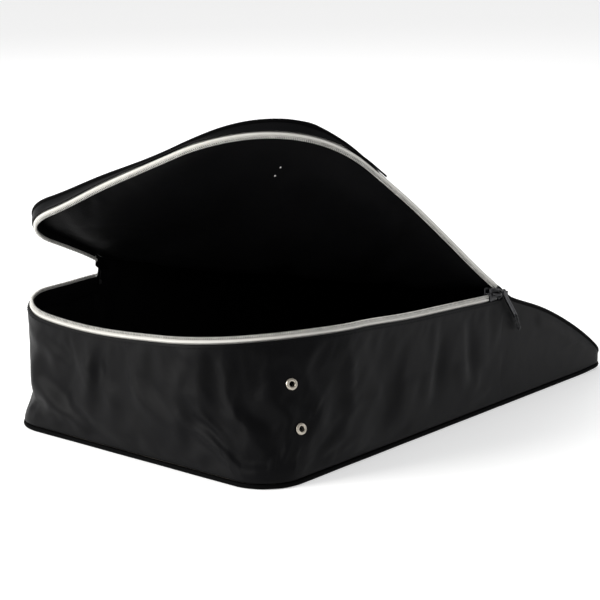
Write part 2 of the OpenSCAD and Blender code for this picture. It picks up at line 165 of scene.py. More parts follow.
# ---- Heights ----
def sag(p):
    v = np.abs(2 * p[:, 1] / HEEL_W)
    return SAG * (1 - v ** 4) * np.clip(1 - p[:, 0] / RUN_END, 0, None)


def stiff_rim_z(p):
    back = np.clip(RUN_END - p[:, 0], 0, None) / RUN_END
    return RIM_END_H + RIM_SLOPE * (NEAR_END - p[:, 0]) + HEEL_RISE * back ** 2 - sag(p)


# How soft cloth lies off the stiff shape, in millimetres up, at distances along the zip from
# its end on the slider's side: the base's rim, the lid's rim, and the black band's width.
SOFT_RIM = [(0, 0), (14, 0.2), (50, 0.9), (105, 1.7), (150, 4.2), (185, 4.4), (235, 4.2), (262, 3.3),
            (290, 1.2), (325, -1.7), (350, -2.8), (395, -2.8), (420, -2.5), (440, -1.4), (462, 1.6),
            (489, 5.5)]
SOFT_LID = [(0, -1), (20, -1.4), (40, -0.8), (52, 0.2), (80, 1.6), (110, 2.4), (135, 1.6), (160, 0.5),
            (206, 0.8), (235, 0.7), (257, -0.3), (275, -1), (350, -0.9), (372, -3), (390, -5.4),
            (400, -6.4), (418, -6.6), (440, -4.2), (462, 2.2), (489, 8)]
BAND_UP = [(0, 0.6), (129, 0.5), (142, 0.4), (155, 0.8), (165, 1.6), (176, 3), (187, 5), (206, 9.6),
           (231, 9.2), (257, 7.4), (282, 3.4), (306, 3), (328, 4), (350, 5.8), (372, 7.8), (394, 9.7),
           (416, 10.5), (440, 8), (489, 3)]
RIM_REACH = 30.0  # how far the rim's and the lid edge's waviness carries into the cloth
EDGE_REACH = 42.0
SLIDER_DIP = 4.4  # how far the toe's top slumps beside the slider
TOE_RUN = 38.0
TOE_LIFT = 2.0  # how far the toe's underside curls up over that run
RIM_LINE = heel_route(NEAR_END, FAR_END, 0, 1, 1.5)
RIM_U = np.concatenate([[0], np.cumsum(np.linalg.norm(np.diff(RIM_LINE, axis=0), axis=1))])


def zip_place(p):
    """Distance along the zip, distance from it and nearest point, for points (n, 2) in plan."""
    a, b = RIM_LINE[:-1], RIM_LINE[1:]
    run = b - a
    span = (run ** 2).sum(1)
    t = np.clip(((p[:, None] - a) * run).sum(-1) / span, 0, 1)
    away = np.linalg.norm(p[:, None] - a - t[..., None] * run, axis=-1)
    k = away.argmin(1)
    rows = np.arange(len(p))
    t = t[rows, k]
    return RIM_U[k] + t * np.sqrt(span[k]), away[rows, k], a[k] + t[:, None] * run[k]


def eased(u, knots):
    """Knots joined by a smooth line."""
    x, y = np.array(knots, float).T
    return np.mean([np.interp(u + k, x, y) for k in (-12, -8, -4, 0, 4, 8, 12)], axis=0)


def rim_z(p):
    u, away, _ = zip_place(p[:, :2])
    return stiff_rim_z(p) + eased(u, SOFT_RIM) * np.exp(-(away / RIM_REACH) ** 2)


def lid_rim_z(p):
    return stiff_rim_z(p) + eased(zip_place(p[:, :2])[0], SOFT_LID)


def top_z(p):
    lid = FOLD_H + TOP_SLOPE * (NEAR_END - p[:, 0]) - sag(p)
    left = np.clip((BAG_L - p[:, 0]) / (BAG_L - NEAR_END), 0, None)
    toe = TOE_H + (FOLD_H - TOE_H) * np.minimum(left, 1) ** TOE_DROP
    return np.where(p[:, 0] < NEAR_END, lid, toe)


def sheet_z(p):
    """The top cloth's height: the stiff top, with its edge hung from the lid's band."""
    u, away, foot = zip_place(p[:, :2])
    edge = lid_rim_z(foot) + COIL_GAP + TAPE_TOP + eased(u, BAND_UP)
    past = np.clip((p[:, 0] - NEAR_END) / 9, 0, 1)
    dip = SLIDER_DIP * past ** 2 * (3 - 2 * past) * np.exp(-((p[:, 0] - NEAR_END - 9) / 34) ** 2)
    dip = dip * np.exp(-((p[:, 1] + half_w(p[:, 0])) / 38) ** 2)
    return top_z(p) + (edge - top_z(foot)) * np.exp(-(away / EDGE_REACH) ** 2) - dip


def curl(s):
    return TOE_LIFT * np.clip((s - BAG_L + TOE_RUN) / TOE_RUN, 0, 1) ** 2


def on_zip(p):
    return np.where(p[:, 1] < 0, p[:, 0] <= NEAR_END + 0.8, p[:, 0] < FAR_END)


def wall_top(p):
    return np.where(on_zip(p), rim_z(p) - CLOTH_EDGE, sheet_z(p) - 2 * PIPE_R + 1.3)


# ---- Placing ----
def to_frame(points):
    """Bag millimetres to frame millimetres: x is measured from the middle of the bag."""
    out = np.array(points, float)
    out[..., 0] -= BAG_L / 2
    return out


def joint_at(name):
    """A joint's place in bag millimetres."""
    return np.array(JOINTS[name]["pos_m"]) / MM + [BAG_L / 2, 0, 0]


FOLD_A = joint_at("lid_fold")
FOLD_AXIS = np.array(JOINTS["lid_fold"]["axis"])


def turned(points, angle=LID_OPEN, at=FOLD_A):
    """Points turned about the fold's direction: by default from the closed lid to its rest."""
    v = np.asarray(points, float) - at
    c, s = np.cos(angle)[..., None], np.sin(angle)[..., None]
    along = (v @ FOLD_AXIS)[..., None] * FOLD_AXIS
    return at + v * c + np.cross(FOLD_AXIS, v) * s + along * (1 - c)


def put(name, points, faces, material, uv=None):
    """A mesh object from bag millimetres, with an optional map in millimetres for its weave."""
    mesh = bpy.data.meshes.new(name)
    mesh.from_pydata((to_frame(points) * MM).tolist(), [], [list(map(int, f)) for f in faces])
    mesh.materials.append(material)
    mesh.polygons.foreach_set("use_smooth", [True] * len(mesh.polygons))
    if uv is not None:
        layer = mesh.uv_layers.new(name="weave")
        loops = np.zeros(len(mesh.loops), np.int32)
        mesh.loops.foreach_get("vertex_index", loops)
        layer.data.foreach_set("uv", np.asarray(uv, np.float32)[loops].ravel())
    mesh.validate()
    mesh.update()
    obj = bpy.data.objects.new(name, mesh)
    bpy.context.scene.collection.objects.link(obj)
    return obj


def grid_faces(rows, cols, wrap_cols=False, wrap_rows=False):
    faces = []
    for i in range(rows if wrap_rows else rows - 1):
        for j in range(cols if wrap_cols else cols - 1):
            a, b = i * cols + j, i * cols + (j + 1) % cols
            k = (i + 1) % rows
            faces.append((a, b, k * cols + (j + 1) % cols, k * cols + j))
    return faces


def tube_faces(n, m, closed=False):
    """Faces of n rings of m points, capped at both ends unless the rings close up."""
    faces = grid_faces(n, m, True, closed)
    return faces if closed else faces + [tuple(range(m))[::-1], tuple(range((n - 1) * m, n * m))]


def circle(n):
    return np.linspace(0, 2 * math.pi, n, endpoint=False)


def ring_round(b, c, n):
    """A unit circle of n points in the plane of the directions b and c."""
    a = circle(n)[:, None]
    return np.cos(a) * b + np.sin(a) * c


def lengths(points):
    return np.concatenate([[0], np.cumsum(np.linalg.norm(np.diff(points, axis=0), axis=1))])


def sampled(v, along, q):
    """Rows of v, known at the lengths along, at the lengths q."""
    return np.stack([np.interp(q, along, v[:, k]) for k in range(3)], 1)


def smoothed(obj, levels=1):
    if levels:
        soft = obj.modifiers.new("smooth", "SUBSURF")
        soft.levels = soft.render_levels = levels
    return obj


def grid_uv(grid):
    """Map of a (rows, cols, 3) grid by its middle row's and middle column's lengths."""
    u = lengths(grid[grid.shape[0] // 2])
    v = lengths(grid[:, grid.shape[1] // 2])
    return np.stack(np.meshgrid(u, v), -1).reshape(-1, 2)


def put_grid(name, grid, material, face, wrap=False, thick=0.0):
    """A cloth from a grid of points that faces face(grid), with its thickness behind that."""
    rows, cols = grid.shape[:2]
    across = np.gradient(grid, axis=1)
    turn = (np.cross(across, np.gradient(grid, axis=0)) * face(grid)).sum()
    faces = grid_faces(rows, cols, wrap)
    if turn < 0:
        faces = [f[::-1] for f in faces]
    obj = put(name, grid.reshape(-1, 3), faces, material, grid_uv(grid))
    if thick:
        shell = obj.modifiers.new("thickness", "SOLIDIFY")
        shell.thickness = thick * MM
        shell.offset = -1
        shell.use_even_offset = False
    return smoothed(obj)


class Path:
    """A line of stations with an outward direction at each, for cords, tapes and stitches."""

    def __init__(self, points, closed=False, out=None):
        self.p = np.asarray(points, float)
        self.closed = closed
        ahead = np.roll(self.p, -1, 0) - np.roll(self.p, 1, 0)
        if not closed:
            ahead[0], ahead[-1] = self.p[1] - self.p[0], self.p[-1] - self.p[-2]
        self.t = ahead / np.linalg.norm(ahead, axis=1)[:, None]
        if out is None:
            out = np.stack([self.t[:, 1], -self.t[:, 0], 0 * self.t[:, 0]], 1)
            out /= np.linalg.norm(out, axis=1)[:, None]
        self.out = np.broadcast_to(out, self.p.shape)
        self.up = np.cross(self.t, self.out)
        self.up *= np.where(self.up[:, 2:] < 0, -1, 1)

    def at(self, out, up):
        return self.p + self.out * np.reshape(out, (-1, 1)) + self.up * np.reshape(up, (-1, 1))

    def resampled(self, step):
        along = lengths(self.p)
        q = np.linspace(0, along[-1], max(2, int(along[-1] / step) + 1))
        return Path(sampled(self.p, along, q), False, unit(sampled(self.out, along, q)))


def unit(v):
    return v / np.linalg.norm(v, axis=-1, keepdims=True)


def rim_path(s_near, s_far, lift, level=rim_z, inset=COIL_INSET):
    """Round the heel, lift above the base's rim, the lid's rim or the top's edge."""
    base = heel_route(s_near, s_far, 0, 1)
    xy = heel_route(s_near, s_far, inset, 1)
    return Path(np.column_stack([xy, level(base) + lift]), out=rim_out(xy))


def rim_out(xy):
    t = np.gradient(xy, axis=0)
    out = np.stack([-t[:, 1], t[:, 0], 0 * t[:, 0]], 1)
    mid = np.array([BAG_L / 2, 0.0])
    flip = np.sign(((xy - mid) * out[:, :2]).sum(1))
    return unit(out * flip[:, None])


def put_rings(name, rings, section, along, material, closed=False, levels=0):
    """A tube or strip from its rings, with section as their outline and along as its length."""
    uv = np.stack(np.meshgrid(lengths(np.array(section)), along), -1).reshape(-1, 2)
    faces = tube_faces(*rings.shape[:2], closed)
    obj = put(name, rings.reshape(-1, 3), faces, material, uv)
    fix_normals(obj)
    return smoothed(obj, levels)


def sweep(name, path, section, material, on_lid=False, scale=1.0, levels=0):
    """A tube or strip along a path; section is (out, up) points round its outline."""
    grow = np.ones(len(path.p)) * scale
    rings = np.stack([path.at(grow * o, grow * u) for o, u in section], 1)
    rings = turned(rings) if on_lid else rings
    return put_rings(name, rings, section, lengths(path.p), material, path.closed, levels)


def fix_normals(obj):
    bm = bmesh.new()
    bm.from_mesh(obj.data)
    bmesh.ops.recalc_face_normals(bm, faces=bm.faces)
    bm.to_mesh(obj.data)
    bm.free()


def round_section(r, n=12):
    return r * ring_round(np.array([1.0, 0]), np.array([0, 1.0]), n)


def merge(name, parts, material):
    """Many small copies in one mesh: parts is a list of (points, faces)."""
    points, faces, start = [], [], 0
    for p, f in parts:
        points.append(p)
        faces += [tuple(i + start for i in face) for face in f]
        start += len(p)
    obj = put(name, np.vstack(points), faces, material)
    fix_normals(obj)
    return obj


# ---- Materials ----
class Nodes:
    """A material's node tree, built step by step."""

    def __init__(self, name, roughness, metallic=0.0, specular=0.5):
        self.material = bpy.data.materials.new(name)
        self.material.use_nodes = True
        self.tree = self.material.node_tree
        self.shader = self.tree.nodes["Principled BSDF"]
        self.set(self.shader, Roughness=roughness, Metallic=metallic)
        self.gloss(Specular_IOR_Level=specular)

    def set(self, node, **values):
        for key, value in values.items():
            node.inputs[key].default_value = value

    def add(self, kind, **props):
        node = self.tree.nodes.new("ShaderNode" + kind)
        for key, value in props.items():
            setattr(node, key, value)
        return node

    def link(self, a, b):
        self.tree.links.new(a, b)

    def coords(self, scale=1.0, uv=False):
        """Millimetres on the object, or along the cloth's own threads."""
        if uv:
            source, factor = self.add("UVMap", uv_map="weave").outputs["UV"], scale
        else:
            source, factor = self.add("TexCoord").outputs["Object"], scale / MM
        mapping = self.add("Mapping")
        mapping.inputs["Scale"].default_value = (factor, factor, factor)
        self.link(source, mapping.inputs["Vector"])
        return mapping.outputs["Vector"]

    def noise(self, vector, scale, detail=3.0, rough=0.55):
        node = self.add("TexNoise")
        self.set(node, Scale=scale, Detail=detail, Roughness=rough)
        self.link(vector, node.inputs["Vector"])
        return node.outputs["Fac"]

    def wave(self, vector, pitch, direction="X", distort=0.0):
        node = self.add("TexWave", wave_type="BANDS", bands_direction=direction)
        self.set(node, Scale=2 * math.pi / (20 * pitch), Distortion=distort, Detail=1.0)
        self.link(vector, node.inputs["Vector"])
        return node.outputs["Fac"]

    def feed(self, sockets, values):
        """Sets each socket from a number, a colour or another node's output."""
        for socket, value in zip(sockets, values):
            if isinstance(value, (int, float)):
                socket.default_value = value
            elif isinstance(value, tuple):
                socket.default_value = (*value, 1)
            else:
                self.link(value, socket)

    def math(self, operation, a, b):
        node = self.add("Math", operation=operation)
        self.feed(node.inputs, (a, b))
        return node.outputs[0]

    def ramp(self, value, low, high, a=0.3, b=0.7):
        """Colour from low to high as value goes from a to b."""
        node = self.add("ValToRGB")
        node.color_ramp.elements[0].position = a
        node.color_ramp.elements[1].position = b
        node.color_ramp.elements[0].color = (*low, 1)
        node.color_ramp.elements[1].color = (*high, 1)
        self.link(value, node.inputs["Fac"])
        return node.outputs["Color"]

    def edges(self, a, b):
        """Where the surface is convex and so rubbed."""
        return self.ramp(self.add("NewGeometry").outputs["Pointiness"], (0, 0, 0), (1, 1, 1), a, b)

    def mix(self, factor, a, b):
        node = self.add("Mix", data_type="RGBA")
        self.feed((node.inputs[0], node.inputs[6], node.inputs[7]), (factor, a, b))
        return node.outputs[2]

    def bump(self, height, depth_mm, strength=1.0, over=None):
        node = self.add("Bump")
        self.set(node, Strength=strength, Distance=depth_mm * MM)
        self.link(height, node.inputs["Height"])
        if over is not None:
            self.link(over, node.inputs["Normal"])
        return node.outputs["Normal"]

    def gloss(self, **values):
        """Sheen, coat and emission, named with _ for a space."""
        for key, value in values.items():
            self.shader.inputs[key.replace("_", " ")].default_value = value

    def finish(self, color=None, roughness=None, normal=None):
        for key, value in (("Base Color", color), ("Roughness", roughness), ("Normal", normal)):
            if value is not None:
                self.link(value, self.shader.inputs[key])
        return self.material


def weave(name, dark, light, pitch=0.55, depth=0.06, roughness=0.44, sheen=0.003, ribs=0.0, shine=0.07):
    """Woven nylon: threads over and under, uneven dye, a soft sheen and pale rubbed edges."""
    n = Nodes(name, roughness, specular=shine)
    thread = n.coords(uv=True)
    solid = n.coords()
    warp = n.wave(thread, pitch, "X", 0.25)
    weft = n.wave(thread, pitch, "Y", 0.25)
    threads = n.math("MULTIPLY", warp, weft)
    if ribs:
        threads = n.math("MAXIMUM", threads, n.wave(thread, ribs, "Y", 0.4))
    patches = n.noise(solid, 0.022, 4.0)
    slubs = n.noise(thread, 0.9, 2.0)
    tone = n.ramp(patches, dark, light, 0.32, 0.7)
    tone = n.mix(0.35, tone, n.ramp(slubs, dark, light, 0.35, 0.65))
    tone = n.mix(n.math("MULTIPLY", threads, 0.35), tone, light)
    worn = n.edges(0.53, 0.62)
    tone = n.mix(n.math("MULTIPLY", worn, 0.25), tone, tuple(min(1, 2.2 * c + 0.01) for c in light))
    rough = n.math("ADD", n.math("MULTIPLY", patches, 0.16), roughness - 0.08)
    handle = n.bump(n.noise(solid, 0.11, 3.0), 0.35, 0.5)
    normal = n.bump(threads, depth, 0.8, handle)
    n.gloss(Sheen_Weight=sheen, Sheen_Roughness=0.45, Sheen_Tint=(0.75, 0.8, 0.9, 1))
    return n.finish(tone, rough, normal)


def tape_cloth(name, dark, light):
    """Zip tape: pale yarn knitted in fine ribs along the zip, slightly soiled."""
    n = Nodes(name, 0.6, specular=0.4)
    along = n.coords(uv=True)
    solid = n.coords()
    knit = n.math("MULTIPLY", n.wave(along, 0.7, "Y", 0.6), n.wave(along, 0.9, "X", 0.8))
    soil = n.noise(solid, 0.06, 5.0, 0.65)
    tone = n.mix(0.8, n.ramp(soil, dark, light, 0.3, 0.58), n.ramp(knit, dark, light, 0.0, 0.45))
    n.gloss(Sheen_Weight=0.15)
    return n.finish(tone, None, n.bump(knit, 0.08, 0.7))


def moulded(name, dark, light, roughness, coat=0.0):
    """Plastic or cord with a fine grain and a little dirt in it."""
    n = Nodes(name, roughness, specular=0.5)
    solid = n.coords()
    tone = n.ramp(n.noise(solid, 0.25, 4.0), dark, light, 0.35, 0.65)
    rough = n.math("ADD", n.math("MULTIPLY", n.noise(solid, 0.9), 0.2), roughness - 0.1)
    n.gloss(Coat_Weight=coat)
    return n.finish(tone, rough, n.bump(n.noise(solid, 3.0, 2.0), 0.02, 0.6))


def metal(name, dark, light, roughness):
    """Plated metal: cloudy tone, fine scratches and brighter worn edges."""
    n = Nodes(name, roughness, 1.0)
    solid = n.coords()
    cloudy = n.noise(solid, 0.45, 4.0)
    tone = n.ramp(cloudy, dark, light, 0.3, 0.7)
    tone = n.mix(n.edges(0.52, 0.6), tone, tuple(min(1, 1.5 * c + 0.04) for c in light))
    scratches = n.wave(solid, 0.35, "DIAGONAL", 6.0)
    rough = n.math("ADD", n.math("MULTIPLY", cloudy, 0.22), roughness - 0.08)
    return n.finish(tone, rough, n.bump(scratches, 0.012, 0.5))


def braid(name, dark, light, pitch, shine=0.3):
    """Thread or cord with a twist running round it."""
    n = Nodes(name, 0.7, specular=shine)
    twist = n.wave(n.coords(), pitch, "DIAGONAL", 0.5)
    tone = n.ramp(twist, dark, light, 0.2, 0.8)
    n.gloss(Sheen_Weight=0.3 * shine)
    return n.finish(tone, None, n.bump(twist, 0.08, 0.8))


def fibre_board(name):
    n = Nodes(name, 0.85, specular=0.2)
    fibres = n.noise(n.coords(), 0.6, 6.0, 0.7)
    tone = n.ramp(fibres, (0.12, 0.105, 0.09), (0.24, 0.21, 0.18))
    return n.finish(tone, None, n.bump(fibres, 0.1, 0.6))


OUTER = weave("outer_nylon", (0.001, 0.001, 0.0012), (0.003, 0.003, 0.0036))
BASE_CLOTH = weave("base_nylon", (0.002, 0.002, 0.0023), (0.0045, 0.0045, 0.005), 0.9, 0.12, 0.7)
LINING = weave("lining_nylon", (0.0014, 0.0014, 0.0017), (0.003, 0.003, 0.0034), 0.4, 0.04, 0.6, 0.0)
PIPING = weave("piping_nylon", (0.0006, 0.0006, 0.0007), (0.0014, 0.0014, 0.0016), 0.5, 0.05, 0.7, 0.0,
               shine=0.03)
BINDING = weave("binding_tape", (0.0012, 0.0012, 0.0014), (0.0028, 0.0028, 0.0032), 0.5, 0.08, 0.7, 0.0,
                ribs=1.1)
WEBBING = weave("handle_webbing", (0.002, 0.002, 0.0023), (0.007, 0.007, 0.008), 0.8, 0.2, 0.6, 0.02,
                ribs=1.5)
ZIP_TAPE = tape_cloth("zip_tape", (0.53, 0.52, 0.485), (0.68, 0.668, 0.63))
TEETH = moulded("zip_teeth", (0.5, 0.49, 0.46), (0.72, 0.71, 0.67), 0.35, 0.2)
COIL_CORD = moulded("coil_cord", (0.05, 0.05, 0.048), (0.12, 0.12, 0.115), 0.6)
THREAD = braid("black_thread", (0.002, 0.002, 0.0023), (0.006, 0.006, 0.007), 0.5, 0.05)
# Pale thread for the two stitch ends on the lid's lining: a painted glint, not the thread's own colour.
STITCH_GLINT_THREAD = braid("stitch_glint_thread", (0.45, 0.44, 0.42), (0.75, 0.74, 0.72), 0.5)
NICKEL = metal("nickel", (0.27, 0.245, 0.2), (0.47, 0.43, 0.37), 0.34)
BLACK_METAL = metal("black_metal", (0.018, 0.018, 0.02), (0.045, 0.045, 0.048), 0.36)
TAB_METAL = metal("tab_metal", (0.03, 0.03, 0.032), (0.07, 0.07, 0.075), 0.32)
CORD = braid("pull_cord", (0.012, 0.012, 0.013), (0.04, 0.04, 0.043), 0.7)
BOARD = fibre_board("fibre_board")


# ---- Cloth helpers ----
def grid_normals(grid, wrap, towards):
    """Unit normals of a grid, on the side that towards(points) points to."""
    if wrap:
        across = np.roll(grid, -1, 1) - np.roll(grid, 1, 1)
    else:
        across = np.gradient(grid, axis=1)
    normals = unit(np.cross(across, np.gradient(grid, axis=0)))
    side = (normals * towards(grid)).sum(-1, keepdims=True)
    return normals * np.where(side < 0, -1, 1)


def outwards(grid):
    away = grid - [BAG_L / 2, 0, 0]
    away[..., 2] = 0
    return away


def upwards(grid):
    return np.broadcast_to([0.0, 0.0, 1.0], grid.shape)


def downwards(grid):
    return -upwards(grid)


def ripple(u, v, seed, waves=7, length=34.0):
    """A repeatable soft unevenness between -1 and 1 over two lengths in millimetres."""
    rng = np.random.default_rng(seed)
    total = np.zeros(np.broadcast(u, v).shape)
    for _ in range(waves):
        heading = rng.uniform(0, math.pi)
        size = length * rng.uniform(0.6, 1.8)
        phase = rng.uniform(0, 2 * math.pi)
        total += np.sin(2 * math.pi * (u * math.cos(heading) + v * math.sin(heading)) / size + phase)
    return total / waves * 1.6


def grid_ripple(grid, seed, waves, length):
    return ripple(grid[..., 0], grid[..., 1], seed, waves, length)


def crease(u, z, start, end, width, depth):
    """A soft fold along a line: proud on the left of start to end, hollow on its right."""
    a, b = np.array(start, float), np.array(end, float)
    run = np.linalg.norm(b - a)
    d = (b - a) / run
    along = ((u - a[0]) * d[0] + (z - a[1]) * d[1]) / run
    off = ((z - a[1]) * d[0] - (u - a[0]) * d[1]) / width
    fade = np.clip(np.sin(math.pi * np.clip(along, -0.08, 1.08) * 0.86 + 0.22), 0, 1)
    return depth * fade * off * np.exp(0.5 - off ** 2 / 2) * ((along > -0.1) & (along < 1.1))


DRAPE_FRAMES = 22


def drape(name, grid, wrap, pins, normals, slack, weight, proud, hollow):
    """Lets a slack cloth settle between its pins and returns its grid, moved no more than
    proud outwards and hollow inwards at any point."""
    obj = put(name, grid.reshape(-1, 3), grid_faces(*grid.shape[:2], wrap), OUTER)
    held = obj.vertex_groups.new(name="held")
    for i, w in enumerate(pins.reshape(-1)):
        held.add([i], float(w), "REPLACE")
    cloth = obj.modifiers.new("cloth", "CLOTH")
    nylon = {"vertex_group_mass": "held", "quality": 6, "mass": 0.12, "tension_stiffness": 40,
             "compression_stiffness": 30, "shear_stiffness": 8, "bending_stiffness": 0.9,
             "shrink_min": -slack, "shrink_max": -slack}
    for key, value in nylon.items():
        setattr(cloth.settings, key, value)
    cloth.settings.effector_weights.gravity = weight
    cloth.collision_settings.use_collision = False
    cloth.point_cache.frame_start = 1
    cloth.point_cache.frame_end = DRAPE_FRAMES
    scene = bpy.context.scene
    for frame_no in range(1, DRAPE_FRAMES + 1):
        scene.frame_set(frame_no)
    settled = obj.evaluated_get(bpy.context.evaluated_depsgraph_get())
    moved = np.zeros(len(settled.data.vertices) * 3)
    settled.data.vertices.foreach_get("co", moved)
    scene.frame_set(1)
    discard(obj)
    moved = moved.reshape(grid.shape) / MM
    moved[..., 0] += BAG_L / 2
    shift = moved - grid
    out = (shift * normals).sum(-1)
    flat = shift - out[..., None] * normals
    soft = np.where(out > 0, proud * np.tanh(out / np.maximum(proud, 1e-6)),
                    -hollow * np.tanh(-out / np.maximum(hollow, 1e-6)))
    return grid + soft[..., None] * normals + 0.5 * flat * (1 - pins)[..., None]


def rows_at(grid, levels, wanted):
    """A grid's points at other levels; wanted is (rows, columns)."""
    out = np.zeros((*wanted.shape, 3))
    for j in range(grid.shape[1]):
        for k in range(3):
            out[:, j, k] = np.interp(wanted[:, j], levels, grid[:, j, k])
    return out


CAPSULE_RING = 5


def capsules(name, centres, along, up, length, radius, material):
    """Stitches: a short rounded bar of thread at each centre, sunk at both ends."""
    ends = np.array([-0.5, -0.3, 0.3, 0.5])
    size = np.array([0.35, 1.0, 1.0, 0.35])
    sink = np.array([-0.7, 0.25, 0.25, -0.7]) * radius
    parts = []
    for c, t, n in zip(centres, along, up):
        ring = ring_round(n, np.cross(t, n), CAPSULE_RING)
        rings = [c + t * length * e + n * s + radius * k * ring for e, k, s in zip(ends, size, sink)]
        parts.append((np.vstack(rings), tube_faces(4, CAPSULE_RING)))
    return merge(name, parts, material)


def stitch_line(name, points, normals, step=3.4, length=2.5, radius=0.2):
    """A row of stitches along points that lie on a surface with the given normals."""
    along = lengths(points)
    n = int(along[-1] / step)
    q = (np.arange(n) + 0.5) * along[-1] / n
    ahead = unit(sampled(points, along, q + 0.4) - sampled(points, along, q - 0.4))
    up = unit(sampled(normals, along, q))
    return capsules(name, sampled(points, along, q), ahead, up, length, radius, THREAD)


def finish_piece(obj, body, nodes):
    """Rides a piece on its body, in the place of CAD nodes."""
    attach(obj, body)
    if nodes:
        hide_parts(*nodes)
    return obj


def put_cloth(name, grid, material, face, thick, body, node):
    finish_piece(put_grid(name, grid, material, face, thick=thick), body, [node])


# ---- Side wall ----
WALL_FOOT = 3.4
LEVELS = np.concatenate([[0, 0.03], np.linspace(0.08, 0.92, 20), [0.97, 1]])
VENT_SPOTS = [(NEAR, 120, 58.0), (NEAR, 108, 32.3), (FAR, 98, 58.0), (FAR, 92, 32.3)]


def wall_grid():
    axis = whole_route(0, 1)
    foot, top = whole_route(0, 0), axis
    low = WALL_FOOT + curl(axis[:, 0])
    z = low + (wall_top(axis) - low) * LEVELS[:, None]
    xy = foot + (top - foot) * LEVELS[:, None, None]
    return np.dstack([xy, z])


def vent_frames():
    """Middle and outward direction of each vent, on the wall's outer face."""
    for side, angle, height in VENT_SPOTS:
        a = math.radians(angle)
        rim_r = heel_r(side, 1)
        rim = arc(side, rim_r, rim_r, 0, angle, angle, 1)[:1]
        span = wall_top(rim)[0] - WALL_FOOT
        r = heel_r(side, (height - WALL_FOOT) / span)
        xy = arc(side, r, r, 0, angle, angle, 1)[0]
        growth = (rim_r - FLOOR_R) / span
        tilt = 1 + math.cos(a) - math.sin(a) * (1 + math.sin(TILT)) / math.cos(TILT)
        lean = math.atan(growth * tilt)
        turn = side * a
        out = np.array([math.cos(lean) * math.cos(turn), math.cos(lean) * math.sin(turn),
                        -math.sin(lean)])
        yield np.array([*xy, height]), out


DENT_AT = (8, 104, 38)  # the far heel corner is pushed in here
DENT_DEPTH = 4.6
DENT_R = 26.0


# The wall's folds: where each starts and ends, as millimetres round the wall from the near zip
# end by way of the heel and millimetres up, then how wide and how deep it is.
WALL_CREASES = [
    ((426, 68), (374, 50), 4.5, 2.2),
    ((440, 60), (388, 24), 8, 2.2),
    ((398, 78), (330, 34), 7, 2.0),
    ((412, 36), (372, 13), 4.5, 2.0),
    ((353, 68), (364, 26), 5, 1.8),
    ((330, 72), (300, 30), 8, 1.6),
    ((291, 40), (262, 15), 4.5, 2.0),
    ((276, 44), (258, 24), 4, 1.4),
    ((285, 66), (250, 44), 7, 1.5),
    ((256, 44), (220, 31), 4.5, 2.6),
    ((244, 34), (214, 12), 5, 2.2),
    ((262, 12), (216, 14), 4, 2.6),
    ((240, 8), (204, 8), 3.5, 2.6),
    ((232, 60), (206, 36), 5, 1.7),
    ((190, 62), (176, 20), 8, 1.3),
    ((170, 30), (120, 12), 7, 1.3),
    ((120, 66), (108, 14), 9, -1.6),
    ((84, 70), (76, 22), 5.5, 2.0),
    ((50, 66), (36, 24), 5.5, 1.8),
]


def shaped_wall():
    """The wall's outer face: uneven and creased, then settled between its seams."""
    grid = wall_grid()
    normals = grid_normals(grid, True, outwards)
    u = lengths(grid[len(grid) // 2])[None, :]
    s, y, z = grid[..., 0], grid[..., 1], grid[..., 2]
    height = z.max(0)[None, :]
    rise = (z - WALL_FOOT) / (height - WALL_FOOT)
    free = np.sin(math.pi * np.clip(rise, 0, 1)) ** 0.7
    free *= np.clip(height / 60, 0.15, 1)
    side, front = np.clip((s - 70) / 60, 0, 1), np.clip((s - 235) / 50, 0, 1)
    lively = 1 - 0.65 * side ** 2 * (3 - 2 * side)  # the long sides lie smoother than the heel
    lively -= 0.27 * front ** 2 * (3 - 2 * front)  # and the toe smoother still
    push = 0.75 * ripple(u, z, 11) * free * lively
    push += 0.4 * ripple(u, z, 23, 8, 16) * free * lively
    from_dent = np.linalg.norm(grid - DENT_AT, axis=-1)
    push -= DENT_DEPTH * np.exp(-(from_dent / DENT_R) ** 2)
    for start, end, width, depth in WALL_CREASES:
        push += crease(u, z, start, end, width, depth) * free
    push += 1.1 * front * np.exp(-((height - z - 9) / 4.5) ** 2) * np.clip(height / 40 - 0.4, 0, 1)
    shaped = grid + push[..., None] * normals
    pull_zone = (y < 0) & (s > 80) & (s < 290) & (z > 40)
    proud = np.where(pull_zone, 0.3, np.maximum(2.6 * lively, 1.1)) * np.clip(free * 1.6, 0, 1)
    shaped_out = ((shaped - grid) * normals).sum(-1)
    shaped = grid + np.minimum(shaped_out, np.maximum(proud, 0.02))[..., None] * normals
    pins = np.clip(1 - free * 2.2, 0, 1)
    pins[:2] = 1
    pins[-2:] = 1
    for at, _ in vent_frames():
        near = np.linalg.norm(grid - at, axis=-1)
        pins = np.maximum(pins, np.clip(1.8 - near / 7, 0, 1))
    shaped = np.where((pins > 0.98)[..., None], grid, shaped)
    return drape("wall_drape", shaped, True, pins, normals, slack=0.014, weight=0.35,
                 proud=proud * lively, hollow=3.2 * lively ** 2)


def discard(obj):
    mesh = obj.data
    bpy.data.objects.remove(obj)
    bpy.data.meshes.remove(mesh)


CUTTER_RING = 24
CUTTER_REACH = 9.0  # each way from the wall's face


